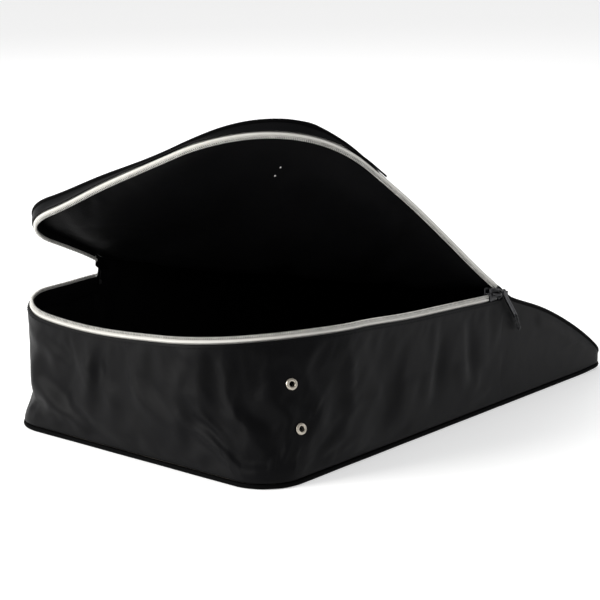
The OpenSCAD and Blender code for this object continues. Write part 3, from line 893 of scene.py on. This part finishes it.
def holed(obj, radius=2.1):
    """Opens the vents: makes the modifiers real and cuts a round hole at each vent."""
    cutters = []
    for at, out in vent_frames():
        b = unit(np.cross(out, [0, 0, 1]))
        ring = radius * ring_round(b, np.cross(out, b), CUTTER_RING)
        points = np.vstack([at - CUTTER_REACH * out + ring, at + CUTTER_REACH * out + ring])
        cutters.append((points, tube_faces(2, CUTTER_RING)))
    cutter = merge("vent_cutter", cutters, THREAD)
    cut = obj.modifiers.new("vents", "BOOLEAN")
    cut.operation = "DIFFERENCE"
    cut.solver = "EXACT"
    cut.object = cutter
    real = obj.evaluated_get(bpy.context.evaluated_depsgraph_get())
    mesh = bpy.data.meshes.new_from_object(real)
    obj.modifiers.clear()
    obj.data = mesh
    discard(cutter)
    return obj


WALL = shaped_wall()
WALL_NORMALS = grid_normals(WALL, True, outwards)
wall = holed(put_grid("side_wall_cloth", WALL, OUTER, outwards, True, 1.5))
finish_piece(wall, "base", ["side_wall"])

ROUTE = whole_route(0, 1)
S_AT = ROUTE[:, 0]
WALL_TOP = wall_top(ROUTE)


def wall_strip(keep, low, high, rows, inset):
    """Part of the wall's own surface, moved inwards by inset, between two heights."""
    k = np.linspace(0, 1, rows)[:, None]
    z = low + (high - low) * k
    level = (z - WALL_FOOT) / (WALL_TOP - WALL_FOOT)
    points = rows_at(WALL, LEVELS, level)[:, keep]
    normals = rows_at(WALL_NORMALS, LEVELS, level)[:, keep]
    return points - inset * unit(normals), unit(normals)


def columns(s_near, s_far):
    """Columns of the wall round the heel from s_near on the near side to s_far on the far side."""
    near = (ROUTE[:, 1] < 0) & (S_AT <= s_near)
    far = (ROUTE[:, 1] >= 0) & (S_AT <= s_far)
    mask = np.flatnonzero(near | far)
    gap = np.flatnonzero(np.diff(mask) > 1)
    return np.roll(mask, -(gap[0] + 1)) if len(gap) else mask


zip_cols = columns(NEAR_END - 1, FAR_END - 1)
lining_drop = np.where(on_zip(ROUTE), 4.4, 1.2)
lining_cols = columns(350, 350)
lining_points, _ = wall_strip(lining_cols, 5.0, WALL_TOP - lining_drop, 20, WALL_T + 0.45)
lining = holed(put_grid("wall_lining_cloth", lining_points, LINING, outwards, thick=0.6))
finish_piece(lining, "base", ["wall_lining"])

seam_points, seam_normals = wall_strip(zip_cols, WALL_TOP - 2.2, WALL_TOP - 2.2, 1, -0.02)
seam = stitch_line("rim_stitching", seam_points[0], seam_normals[0])
finish_piece(seam, "base", [])


# ---- Base: seams, floor and toe ----
def put_cord(name, path, seed, body, node, taper=1.0):
    """A piping cord, sewn in a little unevenly along its length."""
    along = np.arange(len(path.p)) * 2.0
    uneven = 1 + 0.05 * ripple(along, 0 * along, seed, 6, 30)
    cord = sweep(name, path, round_section(PIPE_R), PIPING, body == "lid", uneven * taper)
    finish_piece(cord, body, [node])


foot_xy = whole_route(PIPE_INSET, 0)
foot_z = PIPE_R + 0.1 + curl(whole_route(0, 0)[:, 0])
foot_path = Path(np.column_stack([foot_xy, foot_z]), True, rim_out(foot_xy))
put_cord("bottom_piping_cord", foot_path, 3, "base", "bottom_piping")


def side_line(side, s0, d, level, n_heel, n_toe):
    """One side's edge from the heel end to the toe end, with a station at s0."""
    to_heel = np.vstack([side_run(side, s0, tangent_s(side, level), n_heel[0], d),
                         heel_arc(side, d, level, n_heel[1])[1:]])
    to_toe = np.vstack([side_run(side, s0, TOE_TANGENT, n_toe, d), toe_arc(side, d, 5)[1:]])
    return np.vstack([to_heel[::-1], to_toe[1:]])


def heel_to_toe(s_near, s_far, d, level, n_heel=(26, 16), n_toe=44, cols=52):
    """Rows across the whole bag from the heel to the toe; one row runs from s_near to s_far."""
    near = side_line(NEAR, s_near, d, level, n_heel, n_toe)
    far = side_line(FAR, s_far, d, level, n_heel, n_toe)
    k = np.linspace(0, 1, cols)[None, :, None]
    return near[:, None] + (far - near)[:, None] * k


mid_s = BAG_L / 2
bottom_xy = heel_to_toe(mid_s, mid_s, PIPE_INSET + 0.6, 0)
edge_in = np.minimum(np.linspace(0, 1, bottom_xy.shape[1]), np.linspace(1, 0, bottom_xy.shape[1]))
settle = 0.5 + 0.25 * grid_ripple(bottom_xy, 5, 8, 60)
bottom_z = 1.4 - 1.1 * np.clip(edge_in * 14, 0, 1)[None, :] + 0.3 * settle
bottom_z[[0, -1]] = 1.5
bottom_z = bottom_z + curl(bottom_xy[..., 0])
put_cloth("base_panel_cloth", np.dstack([bottom_xy, bottom_z]), BASE_CLOTH, downwards, 0.8,
          "base", "base_panel")

FLOOR_Z = 4.3  # the floor lining's face, over the board
floor_xy = heel_to_toe(mid_s, mid_s, 2.6, 0)[:-1]
floor_z = FLOOR_Z + curl(floor_xy[..., 0]) + 0.45 * (grid_ripple(floor_xy, 8, 8, 70) + 1)
floor_z[:, [0, -1]] += 0.9
floor_z[0] += 0.9
put_cloth("floor_lining_cloth", np.dstack([floor_xy, floor_z]), LINING, upwards, 0.5,
          "base", "floor_lining")

toe_xy = toe_route(FAR_END + 3, NEAR_END + 3, PIPE_INSET)
toe_path = Path(np.column_stack([toe_xy, sheet_z(toe_xy) - PIPE_R - 0.1]), out=rim_out(toe_xy))
put_cord("toe_piping_cord", toe_path, 9, "base", "toe_piping")

# ---- Top: one cloth from the heel over the fold to the toe ----
to_lid = unit(np.array([-FOLD_AXIS[1], FOLD_AXIS[0], 0.0]))
if to_lid[0] > 0:
    to_lid = -to_lid
FOLD_W = 5.0  # half the width of the soft fold


def fold_share(points):
    """0 on the toe's side of the fold, 1 on the lid's side."""
    t = np.clip((((points - FOLD_A) @ to_lid) / FOLD_W + 1) / 2, 0, 1)
    return t * t * (3 - 2 * t)


def folded(points):
    """Closed points to their place at rest: toe's side stays, lid's side stands open."""
    return turned(points, LID_OPEN * fold_share(points))


def bend_at_fold(obj, slot, *nodes):
    """Bakes a cloth's place into its mesh and hides the CAD nodes it stands in for."""
    start, end = (tuple(to_frame(FOLD_A + to_lid * reach) * MM) for reach in (-FOLD_W, FOLD_W))
    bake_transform(obj)
    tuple(start)
    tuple(end)
    if nodes:
        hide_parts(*nodes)


def top_sheet(inset, drop, cols=60):
    """The closed top as a grid, inset from the outline and drop below its surface."""
    xy = heel_to_toe(NEAR_END, FAR_END, inset, 1, (34, 18), 62, cols)
    z = sheet_z(xy.reshape(-1, 2)).reshape(xy.shape[:2]) - drop
    return np.dstack([xy, z])


HANDLE_S = 59.0
WEB_W = 25.0
ARCH_HALF = 50.0
ARCH_RISE = 24.0
PATCH_END = 74.0


def under_patch(s, y):
    """Where the handle's ends are sewn down."""
    return (np.abs(s - HANDLE_S) < WEB_W / 2 + 3) & (np.abs(y) > 38) & (np.abs(y) < PATCH_END + 3)


def inside_share(grid, toe_step, reach):
    """0 at a sheet's border, 1 from reach millimetres inside it."""
    i, j = np.arange(grid.shape[0]), np.arange(grid.shape[1])
    from_edge = np.minimum(j, j[::-1])[None, :] * (HEEL_W / len(j))
    from_end = np.minimum(i, toe_step * i[::-1])[:, None] * 5.0
    return np.clip(np.minimum(from_edge, from_end) / reach, 0, 1)


def border_pins(inside):
    """How firmly each point is held: fully at the border, not at all well inside it."""
    pins = np.clip(1.15 - inside * 1.6, 0, 1)
    pins[:, [0, -1]] = pins[[0, -1]] = 1
    return pins


def opened(grid, normals):
    """A closed sheet and its normals, where they are at rest."""
    at_rest = folded(grid)
    return at_rest, grid_normals(at_rest, False, lambda g: folded(grid + normals) - at_rest)


top = top_sheet(PIPE_INSET + 0.4, 0.2)
flat_normals = grid_normals(top, False, upwards)
inside = inside_share(top, 1.5, 26)
swell = 0.5 * grid_ripple(top, 31, 9, 60) + 0.2 * grid_ripple(top, 37, 9, 22)
near_fold = np.exp(-(((top - FOLD_A) @ to_lid) / 14) ** 2)
pucker = 0.5 * ripple(top[..., 1], 0 * top[..., 1], 41, 6, 14) * near_fold
top = top + ((swell + pucker) * inside)[..., None] * flat_normals
open_top, open_normals = opened(top, flat_normals)
top_pins = np.where(under_patch(top[..., 0], top[..., 1]), 1, border_pins(inside))
top_pins = np.maximum(top_pins, 0.7 * near_fold)
open_top = drape("top_drape", open_top, False, top_pins, open_normals, slack=0.006, weight=0.3,
                 proud=3.0, hollow=0.7)
top_cloth = put_grid("top_cloth", open_top, OUTER, upwards, thick=0.8)
bend_at_fold(top_cloth, "outer_cloth", "lid_panel", "toe_panel")

under = top_sheet(3.9, 2.0, 50)[:-8]
under_normals = grid_normals(under, False, downwards)
inside = inside_share(under, 3, 24)
swell = 0.5 + 0.5 * grid_ripple(under, 53, 9, 50)
under = under + (1.5 * swell * inside)[..., None] * under_normals
open_under, under_out = opened(under, under_normals)
open_under = drape("under_drape", open_under, False, border_pins(inside), under_out, slack=0.012,
                   weight=0.4, proud=4.5, hollow=0.6)
top_lining = put_grid("top_lining_cloth", open_under, LINING, downwards, thick=0.5)
bend_at_fold(top_lining, "lining_cloth", "lid_lining")

# Two stitch ends on the lid's lining, by the corner on the slider's side; their pale colour is a painted
# glint.
stitch_glint_spots = [np.unravel_index(np.hypot(under[..., 0] - s, under[..., 1] - y).argmin(), under.shape[:2])
         for s, y in ((57.8, -59.6), (61.5, -54.6))]
stitch_glint_at = np.array([open_under[k] + 0.15 * under_out[k] for k in stitch_glint_spots])
stitch_glints = capsules("lining_stitch_glints", stitch_glint_at, np.tile(unit(turned([0.5, 0.87, 0], at=np.zeros(3))), (2, 1)),
                np.array([under_out[k] for k in stitch_glint_spots]), 1.5, 0.5, STITCH_GLINT_THREAD)
finish_piece(stitch_glints, "lid", [])


# ---- Zip, bindings and the lid's edge ----
COIL_PITCH = 1.35
WIRE_R = 0.31
CORE_R = 0.42


def coil(name, path, up_sign, on_lid, node):
    """The moulded coil: a wire wound round a cord, with its heads on the mating side."""
    fine = path.resampled(COIL_PITCH / 9)
    turn = 2 * math.pi * lengths(fine.p) / COIL_PITCH
    line = fine.at(0.72 * np.sin(turn), up_sign * (0.68 * np.cos(turn)))
    radial = unit(line - fine.p)
    tangent = unit(np.gradient(line, axis=0))
    side = np.cross(tangent, radial)
    a = circle(5)
    rings = np.stack([line + WIRE_R * (math.cos(k) * radial + math.sin(k) * side) for k in a], 1)
    coarse = path.resampled(3.0)
    core = np.stack([coarse.at(CORE_R * math.cos(k), CORE_R * math.sin(k)) for k in a], 1)
    parts = [((turned(p) if on_lid else p).reshape(-1, 3), tube_faces(len(p), 5)) for p in (rings, core)]
    teeth = merge(name, parts, TEETH)
    teeth.data.materials.append(COIL_CORD)
    slots = np.zeros(len(teeth.data.polygons), np.int32)
    slots[len(parts[0][1]):] = 1
    teeth.data.polygons.foreach_set("material_index", slots)
    return finish_piece(teeth, "lid" if on_lid else "base", [node])


COIL_NEAR, COIL_FAR = NEAR_END - 2.6, FAR_END - 2.6
# Round the white strip's section: outwards and up from the coil's middle.
TAPE = [(-0.4, -9.0), (0.4, -9.0), (0.4, -4.1), (1.2, -3.9), (1.5, -3.5), (1.55, -2.95), (1.3, -2.4),
        (0.7, -2.1), (0.25, -2.0), (0.2, -1.75), (-0.2, -1.75), (-0.4, -2.1)]

rim_line = rim_path(COIL_NEAR, COIL_FAR, 0)
tape = sweep("base_zip_tape_strip", rim_line, TAPE, ZIP_TAPE, levels=1)
finish_piece(tape, "base", ["base_zip_tape"])
coil("base_zip_teeth", rim_path(COIL_NEAR, COIL_FAR, -COIL_R), 1, False, "base_zip_coil")

LID_NEAR, LID_FAR = NEAR_END - 3, FAR_END - 3
lid_line = rim_path(LID_NEAR, LID_FAR, COIL_GAP, lid_rim_z)
lid_base = heel_route(LID_NEAR, LID_FAR, 0, 1)
room = sheet_z(lid_base) - 1.2 - (lid_rim_z(lid_base) + COIL_GAP + TAPE_TOP)


def lid_tape():
    """The lid's tape mirrors the base's and narrows where the lid's side dies away."""
    share = np.clip(room / 5.0, 0.02, 1.0)
    rings = [lid_line.at(np.full(len(share), out),
                         np.where(-up > TAPE_TOP, TAPE_TOP - (up + TAPE_TOP) * share, -up))
             for out, up in TAPE]
    rings = turned(np.stack(rings, 1))
    return put_rings("lid_zip_tape_strip", rings, TAPE, lengths(lid_line.p), ZIP_TAPE, levels=1)


finish_piece(lid_tape(), "lid", ["lid_zip_tape"])
lid_coil_line = rim_path(LID_NEAR, LID_FAR, COIL_GAP + COIL_R, lid_rim_z)
coil("lid_zip_teeth", lid_coil_line, -1, True, "lid_zip_coil")


def edge_strip(s_near, s_far, low, high, inset, rows, bulge):
    """Cloth along the zip between the heights low and high, bulging outwards in its middle."""
    base = heel_route(s_near, s_far, 0, 1)
    xy = heel_route(s_near, s_far, inset, 1)
    k = np.linspace(0, 1, rows)[:, None]
    z = low(base) + (high(base) - low(base)) * k
    grid = np.dstack([np.broadcast_to(xy, (rows, *xy.shape)), z])
    out = np.broadcast_to(rim_out(xy), grid.shape)
    return grid + out * (bulge * np.sin(math.pi * k))[..., None]


BAND_NEAR = NEAR_END - 140
band = edge_strip(BAND_NEAR, LID_FAR, lambda p: lid_rim_z(p) + LID_EDGE + 0.1,
                  lambda p: np.maximum(sheet_z(p) - 2.2, lid_rim_z(p) + LID_EDGE + 0.5),
                  inset=0.3, rows=7, bulge=0.4)
put_cloth("lid_band_cloth", turned(band), OUTER, outwards, 1.2, "lid", "lid_band")

binding = edge_strip(COIL_NEAR - 3, COIL_FAR, lambda p: rim_z(p) - 14, lambda p: rim_z(p) - 2.2,
                     inset=3.5, rows=7, bulge=-0.35)
put_cloth("rim_binding_tape", binding, BINDING, outwards, 0.6, "base", "rim_binding")
lid_binding = edge_strip(NEAR_END - 14, LID_FAR - 2, lambda p: lid_rim_z(p) + COIL_GAP + 2.2,
                         lambda p: sheet_z(p) - 1.0, inset=3.4, rows=6, bulge=-0.2)
put_cloth("lid_binding_tape", turned(lid_binding), BINDING, outwards, 0.6, "lid", "lid_binding")

PIPING_NEAR = NEAR_END - 148
lid_cord_line = rim_path(PIPING_NEAR, LID_FAR, -PIPE_R - 0.1, sheet_z, PIPE_INSET)
cord_along = lengths(lid_cord_line.p)
overlap = 1 + 0.28 * np.exp(-((cord_along - 56) / 5) ** 2)
start = np.clip(cord_along / 30, 0, 1)
put_cord("lid_piping_cord", lid_cord_line, 15, "lid", "lid_piping", overlap * (0.2 + 0.8 * start))


# ---- Gussets: the cloth between each zip end and the fold ----
def gusset(name, side, s0, s1, lift):
    """Side cloth from the zip's end round the fold, from the lid's strip up to the top's seam."""
    xy = side_run(side, s0, s1, 24, 1.9)
    base = side_run(side, s0, s1, 24, 0)
    low = rim_z(base) + lift
    high = sheet_z(base) - 0.9
    k = np.linspace(0, 1, 6)[:, None]
    grid = np.dstack([np.broadcast_to(xy, (6, *xy.shape)), low + (high - low) * k])
    bend_at_fold(put_grid(name, folded(grid), OUTER, outwards, thick=0.8), "outer_cloth")


gusset("fold_gusset_far", FAR, FAR_END - 3.4, FAR_END + 11, 1.0)
gusset("fold_gusset_near", NEAR, NEAR_END - 2.4, NEAR_END + 9, 0.3)

# ---- Vents ----
def lathe(profile, at, out, b, steps=40):
    """A closed profile of (radius, height) spun round the direction out, starting at b."""
    r, h = np.array(profile).T[:, None, :, None]
    points = at + r * ring_round(b, np.cross(out, b), steps)[:, None] + h * out
    return points.reshape(-1, 3), grid_faces(steps, len(profile), True, True)


GROMMET = [(1.6, -4.3), (1.6, 0.3), (1.7, 0.8), (2.0, 1.1), (2.5, 1.15), (3.1, 0.9), (3.5, 0.55),
           (3.6, 0.3), (3.45, 0.15), (3.1, 0.2), (2.5, 0.25), (2.3, 0.0), (2.3, -4.1), (2.1, -4.4)]
WASHER = [(2.45, -3.95), (3.0, -3.75), (3.7, -3.7), (4.0, -3.85), (4.0, -4.05), (3.6, -4.2),
          (2.45, -4.2)]
SPIN_START = [0.31, 0.2, 0.93]  # along none of the vents
for name, profile, node in (("vent_grommets", GROMMET, "eyelet_barrels"),
                            ("vent_washers", WASHER, "eyelet_washers")):
    rings = [lathe(profile, at, out, unit(np.cross(out, SPIN_START))) for at, out in vent_frames()]
    finish_piece(merge(name, rings, NICKEL), "base", [node])


# ---- Handle ----
STRAP_LIFT = 0.45  # from the lid's cloth to the strap


def lid_at(y, across=0.0):
    """The lid's height along the strap, across millimetres from the strap's middle."""
    return sheet_z(np.column_stack([np.full(len(y), HANDLE_S + across), y]))


def arch_line(y):
    """Height of the strap's underside at y."""
    rise = np.where(np.abs(y) < ARCH_HALF, ARCH_RISE * (1 - (y / ARCH_HALF) ** 2), 0)
    return lid_at(y) + STRAP_LIFT + rise


STRAP_SECTION = [(-12.5, 0.7), (-12.3, 0.15), (-11.5, 0.0), (-9.5, 0.2), (-5, 0.12), (0, 0.2),
                 (5, 0.12), (9.5, 0.2), (11.5, 0.0), (12.3, 0.15), (12.5, 0.7),
                 (12.5, 1.4), (12.3, 1.95), (11.5, 2.1), (9.5, 1.85), (5, 2.0), (0, 1.9),
                 (-5, 2.0), (-9.5, 1.85), (-11.5, 2.1), (-12.3, 1.95), (-12.5, 1.4)]


def strap(name, y0, y1, n):
    """Half the webbing: flat on its patch, then rising to the middle of the arch."""
    y = np.linspace(y0, y1, n)
    z = arch_line(y)
    slope = np.gradient(z, y)
    lean = np.sqrt(1 + slope ** 2)
    flat = np.clip((np.abs(y) - 44) / 8, 0, 1)
    rings = []
    for across, up in STRAP_SECTION:
        droop = lid_at(y, across) - lid_at(y)
        rings.append(np.column_stack([np.full(n, HANDLE_S + across), y - up * slope / lean,
                                      z + up / lean + droop * flat]))
    rings = turned(np.stack(rings, 1))
    return put_rings(name, rings, STRAP_SECTION, lengths(rings[:, 0]), WEBBING, levels=1)


def at_rest(s, y, z):
    """A point of the closed lid, in the frame's metres with the lid at rest."""
    return tuple(to_frame(turned(np.array([s, y, z], float))) * MM)


STITCH_BOX = ((-1, 71), (1, 71), (1, 55), (-1, 55))  # corners: side of the strap and distance out
BOX_LEGS = ((0, 1), (1, 2), (2, 3), (3, 0), (0, 2), (1, 3))

for side, side_name in ((NEAR, "near"), (FAR, "far")):
    half = strap("handle_strap_" + side_name, side * PATCH_END, 0.0, 44)
    mid_z = arch_line(np.array([side * 42.0]))[0]
    start, end = (at_rest(HANDLE_S, side * y, mid_z) for y in (47.0, 33.0))
    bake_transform(half)
    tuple(start)
    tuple(end)
    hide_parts("handle_patches", "handle_webbing")
    corners = [(HANDLE_S + a * 9.5, side * b) for a, b in STITCH_BOX]
    points, ahead = [], []
    for a, b in BOX_LEGS:
        line = np.linspace(corners[a], corners[b], 7)
        line = (line[1:] + line[:-1]) / 2
        points.append(np.column_stack([line, sheet_z(line) + STRAP_LIFT + 2.02]))
        ahead.append(unit(np.gradient(points[-1], axis=0)))
    points, ahead = np.vstack(points), np.vstack(ahead)
    middles = turned(points)
    box = capsules("handle_stitching_" + side_name, middles, turned(points + ahead) - middles,
                   turned(points + [0, 0, 1.0]) - middles, 2.4, 0.3, THREAD)
    finish_piece(box, "lid", [])

# ---- Slider ----
HINGE_Y, HINGE_Z = -5.2, 1.8  # the link's hinge, from the slider's middle
RIM_X = -np.array(JOINTS["slider_travel"]["axis"])
RIM_Z = -np.array(JOINTS["pull_flip"]["axis"])
RIM_Y = np.cross(RIM_Z, RIM_X)
LINK_AT = joint_at("pull_flip")
SLIDER_AT = LINK_AT - HINGE_Y * RIM_Y - HINGE_Z * RIM_Z
PULL_AT = joint_at("pull_swing")


def on_rim(points, origin=SLIDER_AT):
    """Slider terms to bag millimetres: x along the zip to the toe, -y outwards, z up."""
    return origin + np.asarray(points, float) @ np.array([RIM_X, RIM_Y, RIM_Z])


def stacked(*layers):
    """A solid through outlines in the slider's x and z, each with its y."""
    points = [np.column_stack([ring[:, 0], np.full(len(ring), y), ring[:, 1]]) for ring, y in layers]
    return np.vstack(points), tube_faces(len(layers), len(points[0]))


def plate(outline, y0, y1, bulge=0.0):
    """A flat plate from y0 to y1 with a raised middle."""
    ring = np.array(outline, float)
    mid = ring.mean(0)
    return stacked((ring, y1), (ring, y0), (mid + (ring - mid) * 0.72, y0 - bulge))


def block(x0, x1, y0, y1, z0, z1):
    points = [(x, y, z) for x in (x0, x1) for y in (y0, y1) for z in (z0, z1)]
    faces = [(0, 1, 3, 2), (4, 6, 7, 5), (0, 4, 5, 1), (2, 3, 7, 6), (0, 2, 6, 4), (1, 5, 7, 3)]
    return np.array(points, float), faces


def hard_piece(name, parts, place, material, body, node, edge=0.0, segments=3):
    """Rigid parts in one mesh, set in place(points), with their sharp edges rounded."""
    obj = merge(name, [(place(p), f) for p, f in parts], material)
    if edge:
        bevel = obj.modifiers.new("edges", "BEVEL")
        bevel.width = edge * MM
        bevel.segments = segments
        bevel.limit_method = "ANGLE"
        bevel.angle_limit = math.radians(35)
    return finish_piece(obj, body, [node])


SHELL = [(-5.5, -2.2), (-5.0, -2.9), (-3.2, -3.0), (0.5, -2.3), (3.6, -1.6), (5.2, -1.2), (5.5, -0.6),
         (5.5, 3.9), (5.2, 4.6), (3.6, 4.9), (0.5, 5.2), (-3.2, 5.9), (-5.0, 5.8), (-5.5, 5.1)]
shell_parts = [plate(SHELL, -1.5, -2.5, 0.35), plate(SHELL, 2.5, 1.5)]
for y0, y1 in ((-1.6, -0.95), (0.95, 1.6)):
    shell_parts.append(block(-4.6, 5.0, y0, y1, -2.1, -1.5))
    shell_parts.append(block(-4.6, 5.0, y0, y1, 4.9, 5.3))
shell_parts.append(block(-5.2, -2.4, -1.6, 1.6, 1.35, 2.25))
hard_piece("slider_shell", shell_parts, on_rim, BLACK_METAL, "slider", "slider_body", 0.28)


def tube(points, section, closed=False, out=None):
    """Points and faces of a bar with the given section along a line of points."""
    line = Path(points, closed, out)
    rings = np.stack([line.at(o, u) for o, u in section], 1)
    return rings.reshape(-1, 3), tube_faces(*rings.shape[:2], closed)


a = np.linspace(math.pi, 0, 17)
arch = np.column_stack([3.05 * np.cos(a), -2.4 - 4.35 * np.sin(a) ** 0.55, 0 * a])
BAR_SECTION = [(-0.5, -0.55), (-0.3, -0.8), (0.3, -0.8), (0.5, -0.55),
               (0.5, 0.55), (0.3, 0.8), (-0.3, 0.8), (-0.5, 0.55)]
bridge = tube(arch, BAR_SECTION, out=unit(np.column_stack([np.cos(a), -np.sin(a) - 0.2, 0 * a])))
hard_piece("slider_bridge_arch", [bridge], lambda p: on_rim(p + [0, 0, HINGE_Z]), BLACK_METAL,
           "slider", "slider_bridge", 0.12, 2)


def ring_line(points):
    """A closed line with rounded corners through points, in the link's x and z."""
    pts = np.array(points, float)
    out = []
    for i, p in enumerate(pts):
        before, after = pts[i - 1], pts[(i + 1) % len(pts)]
        r = 0.45 * min(np.linalg.norm(before - p), np.linalg.norm(after - p), 2.4)
        p0, p2 = p + unit(before - p) * r, p + unit(after - p) * r
        k = np.linspace(0, 1, 5)[:, None]
        out.append((1 - k) ** 2 * p0 + 2 * k * (1 - k) * p + k ** 2 * p2)
    return np.vstack(out)


loop = ring_line([(0, -3.0), (0, 3.0), (1.2, 2.9), (5.4, 1.1), (5.4, -1.1), (1.2, -2.9)])
loop3 = np.column_stack([loop[:, 0], 0 * loop[:, 0], loop[:, 1]])
wire = tube(loop3, round_section(0.52, 10), True, np.array([0.0, -1.0, 0.0]))
EYE = [(0.68, 0.42), (0.68, -0.42), (0.85, -0.52), (1.4, -0.52),
       (1.62, -0.3), (1.62, 0.3), (1.4, 0.52), (0.85, 0.52)]
eye = lathe(EYE, np.array([6.4, 0, 0]), np.array([0, -1.0, 0]), np.array([1.0, 0, 0]), 28)
hard_piece("pull_link_wire", [wire, eye], lambda p: on_rim(p, LINK_AT), BLACK_METAL,
           "pull_link", "pull_link")

HANG = math.radians(48)  # the tab hangs this far under the zip's line
HANG_X = math.cos(HANG) * RIM_X - math.sin(HANG) * RIM_Z
HANG_Z = math.sin(HANG) * RIM_X + math.cos(HANG) * RIM_Z


def on_pull(points):
    """The tab's terms, with x along it from its hinge, to bag millimetres."""
    return PULL_AT + np.asarray(points, float) @ np.array([HANG_X, RIM_Y, HANG_Z])


def rounded_bar(x0, x1, half, y0, y1, groove=0.0):
    """A bar with round ends in x and z; its outer face has a groove down the middle."""
    turn = np.linspace(-math.pi / 2, math.pi / 2, 9)
    right = np.column_stack([x1 - half + half * np.cos(turn), half * np.sin(turn)])
    left = np.column_stack([x0 + half - half * np.cos(turn), -half * np.sin(turn)])
    ring = np.vstack([right, left])
    mid = np.array([(x0 + x1) / 2, 0])
    lip, bottom = (mid + (ring - mid) * share for share in ((0.86, 0.5), (0.84, 0.36)))
    return stacked((ring, y1), (ring, y0), (lip, y0), (bottom, y0 + groove))


TAB_L = 25.0
tab_parts = [rounded_bar(2.2, TAB_L, 1.45, -0.8, 0.8, 0.3)]
for y0, y1 in ((-1.2, -0.65), (0.65, 1.2)):
    tab_parts.append(rounded_bar(-1.6, 4.4, 1.6, y0, y1))
pin = np.array([[0, -1.35, 0], [0, -1.2, 0], [0, 1.2, 0], [0, 1.35, 0]])
tab_parts.append(tube(pin, round_section(0.55, 12), out=np.array([1.0, 0, 0])))
hard_piece("pull_tab_grip", tab_parts, on_pull, TAB_METAL, "pull", "pull_tab", 0.22)

DROP = math.radians(12)  # and the cord this much further
HOLE_X = TAB_L - 1.9
k = np.linspace(0, 1, 26)
cord_parts = []
for strand in range(2):
    leg = np.column_stack([11 * k, (1.3 - 0.6 * k) * (1 if strand else -1), 0 * k])
    twist = 2 * math.pi * k * 5 + strand * math.pi
    for lobe in (0, math.pi):
        wound = leg + 0.32 * np.column_stack([0 * k, np.cos(twist + lobe), np.sin(twist + lobe)])
        cord_parts.append(tube(wound, round_section(0.44, 7), out=np.array([0, 1.0, 0])))
bend = np.linspace(-math.pi / 2, math.pi / 2, 11)
through = np.column_stack([-0.35 * np.cos(bend), 1.3 * np.sin(bend), 0 * bend])
cord_parts.append(tube(through, round_section(0.5, 9), out=np.array([0, 0, 1.0])))
a = circle(40)
knot = np.column_stack([11.2 + 0.8 * np.cos(2 * a), 0.825 * np.sin(a),
                        0.9 * np.cos(a) + 0.3 * np.sin(3 * a)])
cord_parts.append(tube(knot, round_section(0.62, 8), True, np.array([0.3, 1.0, 0.2])))


def on_cord(points):
    """Cord terms, with x along the hanging strands from the tab's hole, to bag millimetres."""
    x, y, z = points.T
    x, z = (HOLE_X + x * math.cos(DROP) + z * math.sin(DROP),
            -x * math.sin(DROP) + z * math.cos(DROP))
    return on_pull(np.column_stack([x, y, z]))


hard_piece("pull_cord_braid", cord_parts, on_cord, CORD, "pull", "pull_cord")

# ---- CAD nodes that stay ----
for node_name, material in (("base_board", BOARD), ("zip_stops", BLACK_METAL)):
    mesh = frame["nodes"][node_name].data
    mesh.materials.clear()
    mesh.materials.append(material)

# ---- Studio, in the frame's metres ----
FLOOR_HALF = 6.0
BAG_MIDDLE = (0, 0, 0.05)
CAMERA_AT = (-1.0195, -0.8630, 0.3654)
CAMERA_DOWN, CAMERA_TURN = 12.60, -48.84  # degrees under level and round from +y
LENS, SENSOR = 122.1, 36  # millimetres


def area_light(name, color, size, strength, at):
    """A soft rectangular light at a place, aimed at the bag."""
    light = bpy.data.lights.new(name, "AREA")
    light.shape = "RECTANGLE"
    light.size, light.size_y = size
    light.energy = strength
    light.color = color
    obj = bpy.data.objects.new(name, light)
    obj.location = at
    obj.rotation_euler = (Vector(BAG_MIDDLE) - Vector(at)).to_track_quat("-Z", "Y").to_euler()
    bpy.context.scene.collection.objects.link(obj)


floor_mesh = bpy.data.meshes.new("studio_floor")
corners = [(x * FLOOR_HALF, y * FLOOR_HALF, 0) for x, y in ((-1, -1), (1, -1), (1, 1), (-1, 1))]
floor_mesh.from_pydata(corners, [], [(0, 1, 2, 3)])
pale = Nodes("pale_floor", 0.9, specular=0.1)
pale.gloss(Emission_Color=(1, 1, 1, 1), Emission_Strength=0.4)
clouds = pale.noise(pale.coords(MM), 0.4)
floor_mesh.materials.append(pale.finish(pale.ramp(clouds, (0.9, 0.9, 0.9), (0.93, 0.93, 0.93))))
studio_floor = bpy.data.objects.new("studio_floor", floor_mesh)
bpy.context.scene.collection.objects.link(studio_floor)

world = bpy.data.worlds.new("studio")
world.use_nodes = True
world.node_tree.nodes["Background"].inputs["Color"].default_value = (1, 1, 1, 1)
world.node_tree.nodes["Background"].inputs["Strength"].default_value = 0.5
bpy.context.scene.world = world
area_light("key", (1, 0.99, 0.97), (0.9, 0.7), 30, (-1.45, 0.8, 0.7))
area_light("fill", (0.93, 0.96, 1), (1.0, 0.8), 5, (1.3, -1.5, 0.8))
area_light("back", (1, 1, 1), (1.6, 1.0), 10, (0.8, 1.4, 1.4))
bpy.context.scene.view_settings.view_transform = "Standard"

camera_data = bpy.data.cameras.new("camera")
camera_data.sensor_width = SENSOR
camera_data.lens = LENS
camera = bpy.data.objects.new("camera", camera_data)
camera.location = CAMERA_AT
camera.rotation_euler = (math.radians(90 - CAMERA_DOWN), 0, math.radians(CAMERA_TURN))
bpy.context.scene.collection.objects.link(camera)
bpy.context.scene.camera = camera
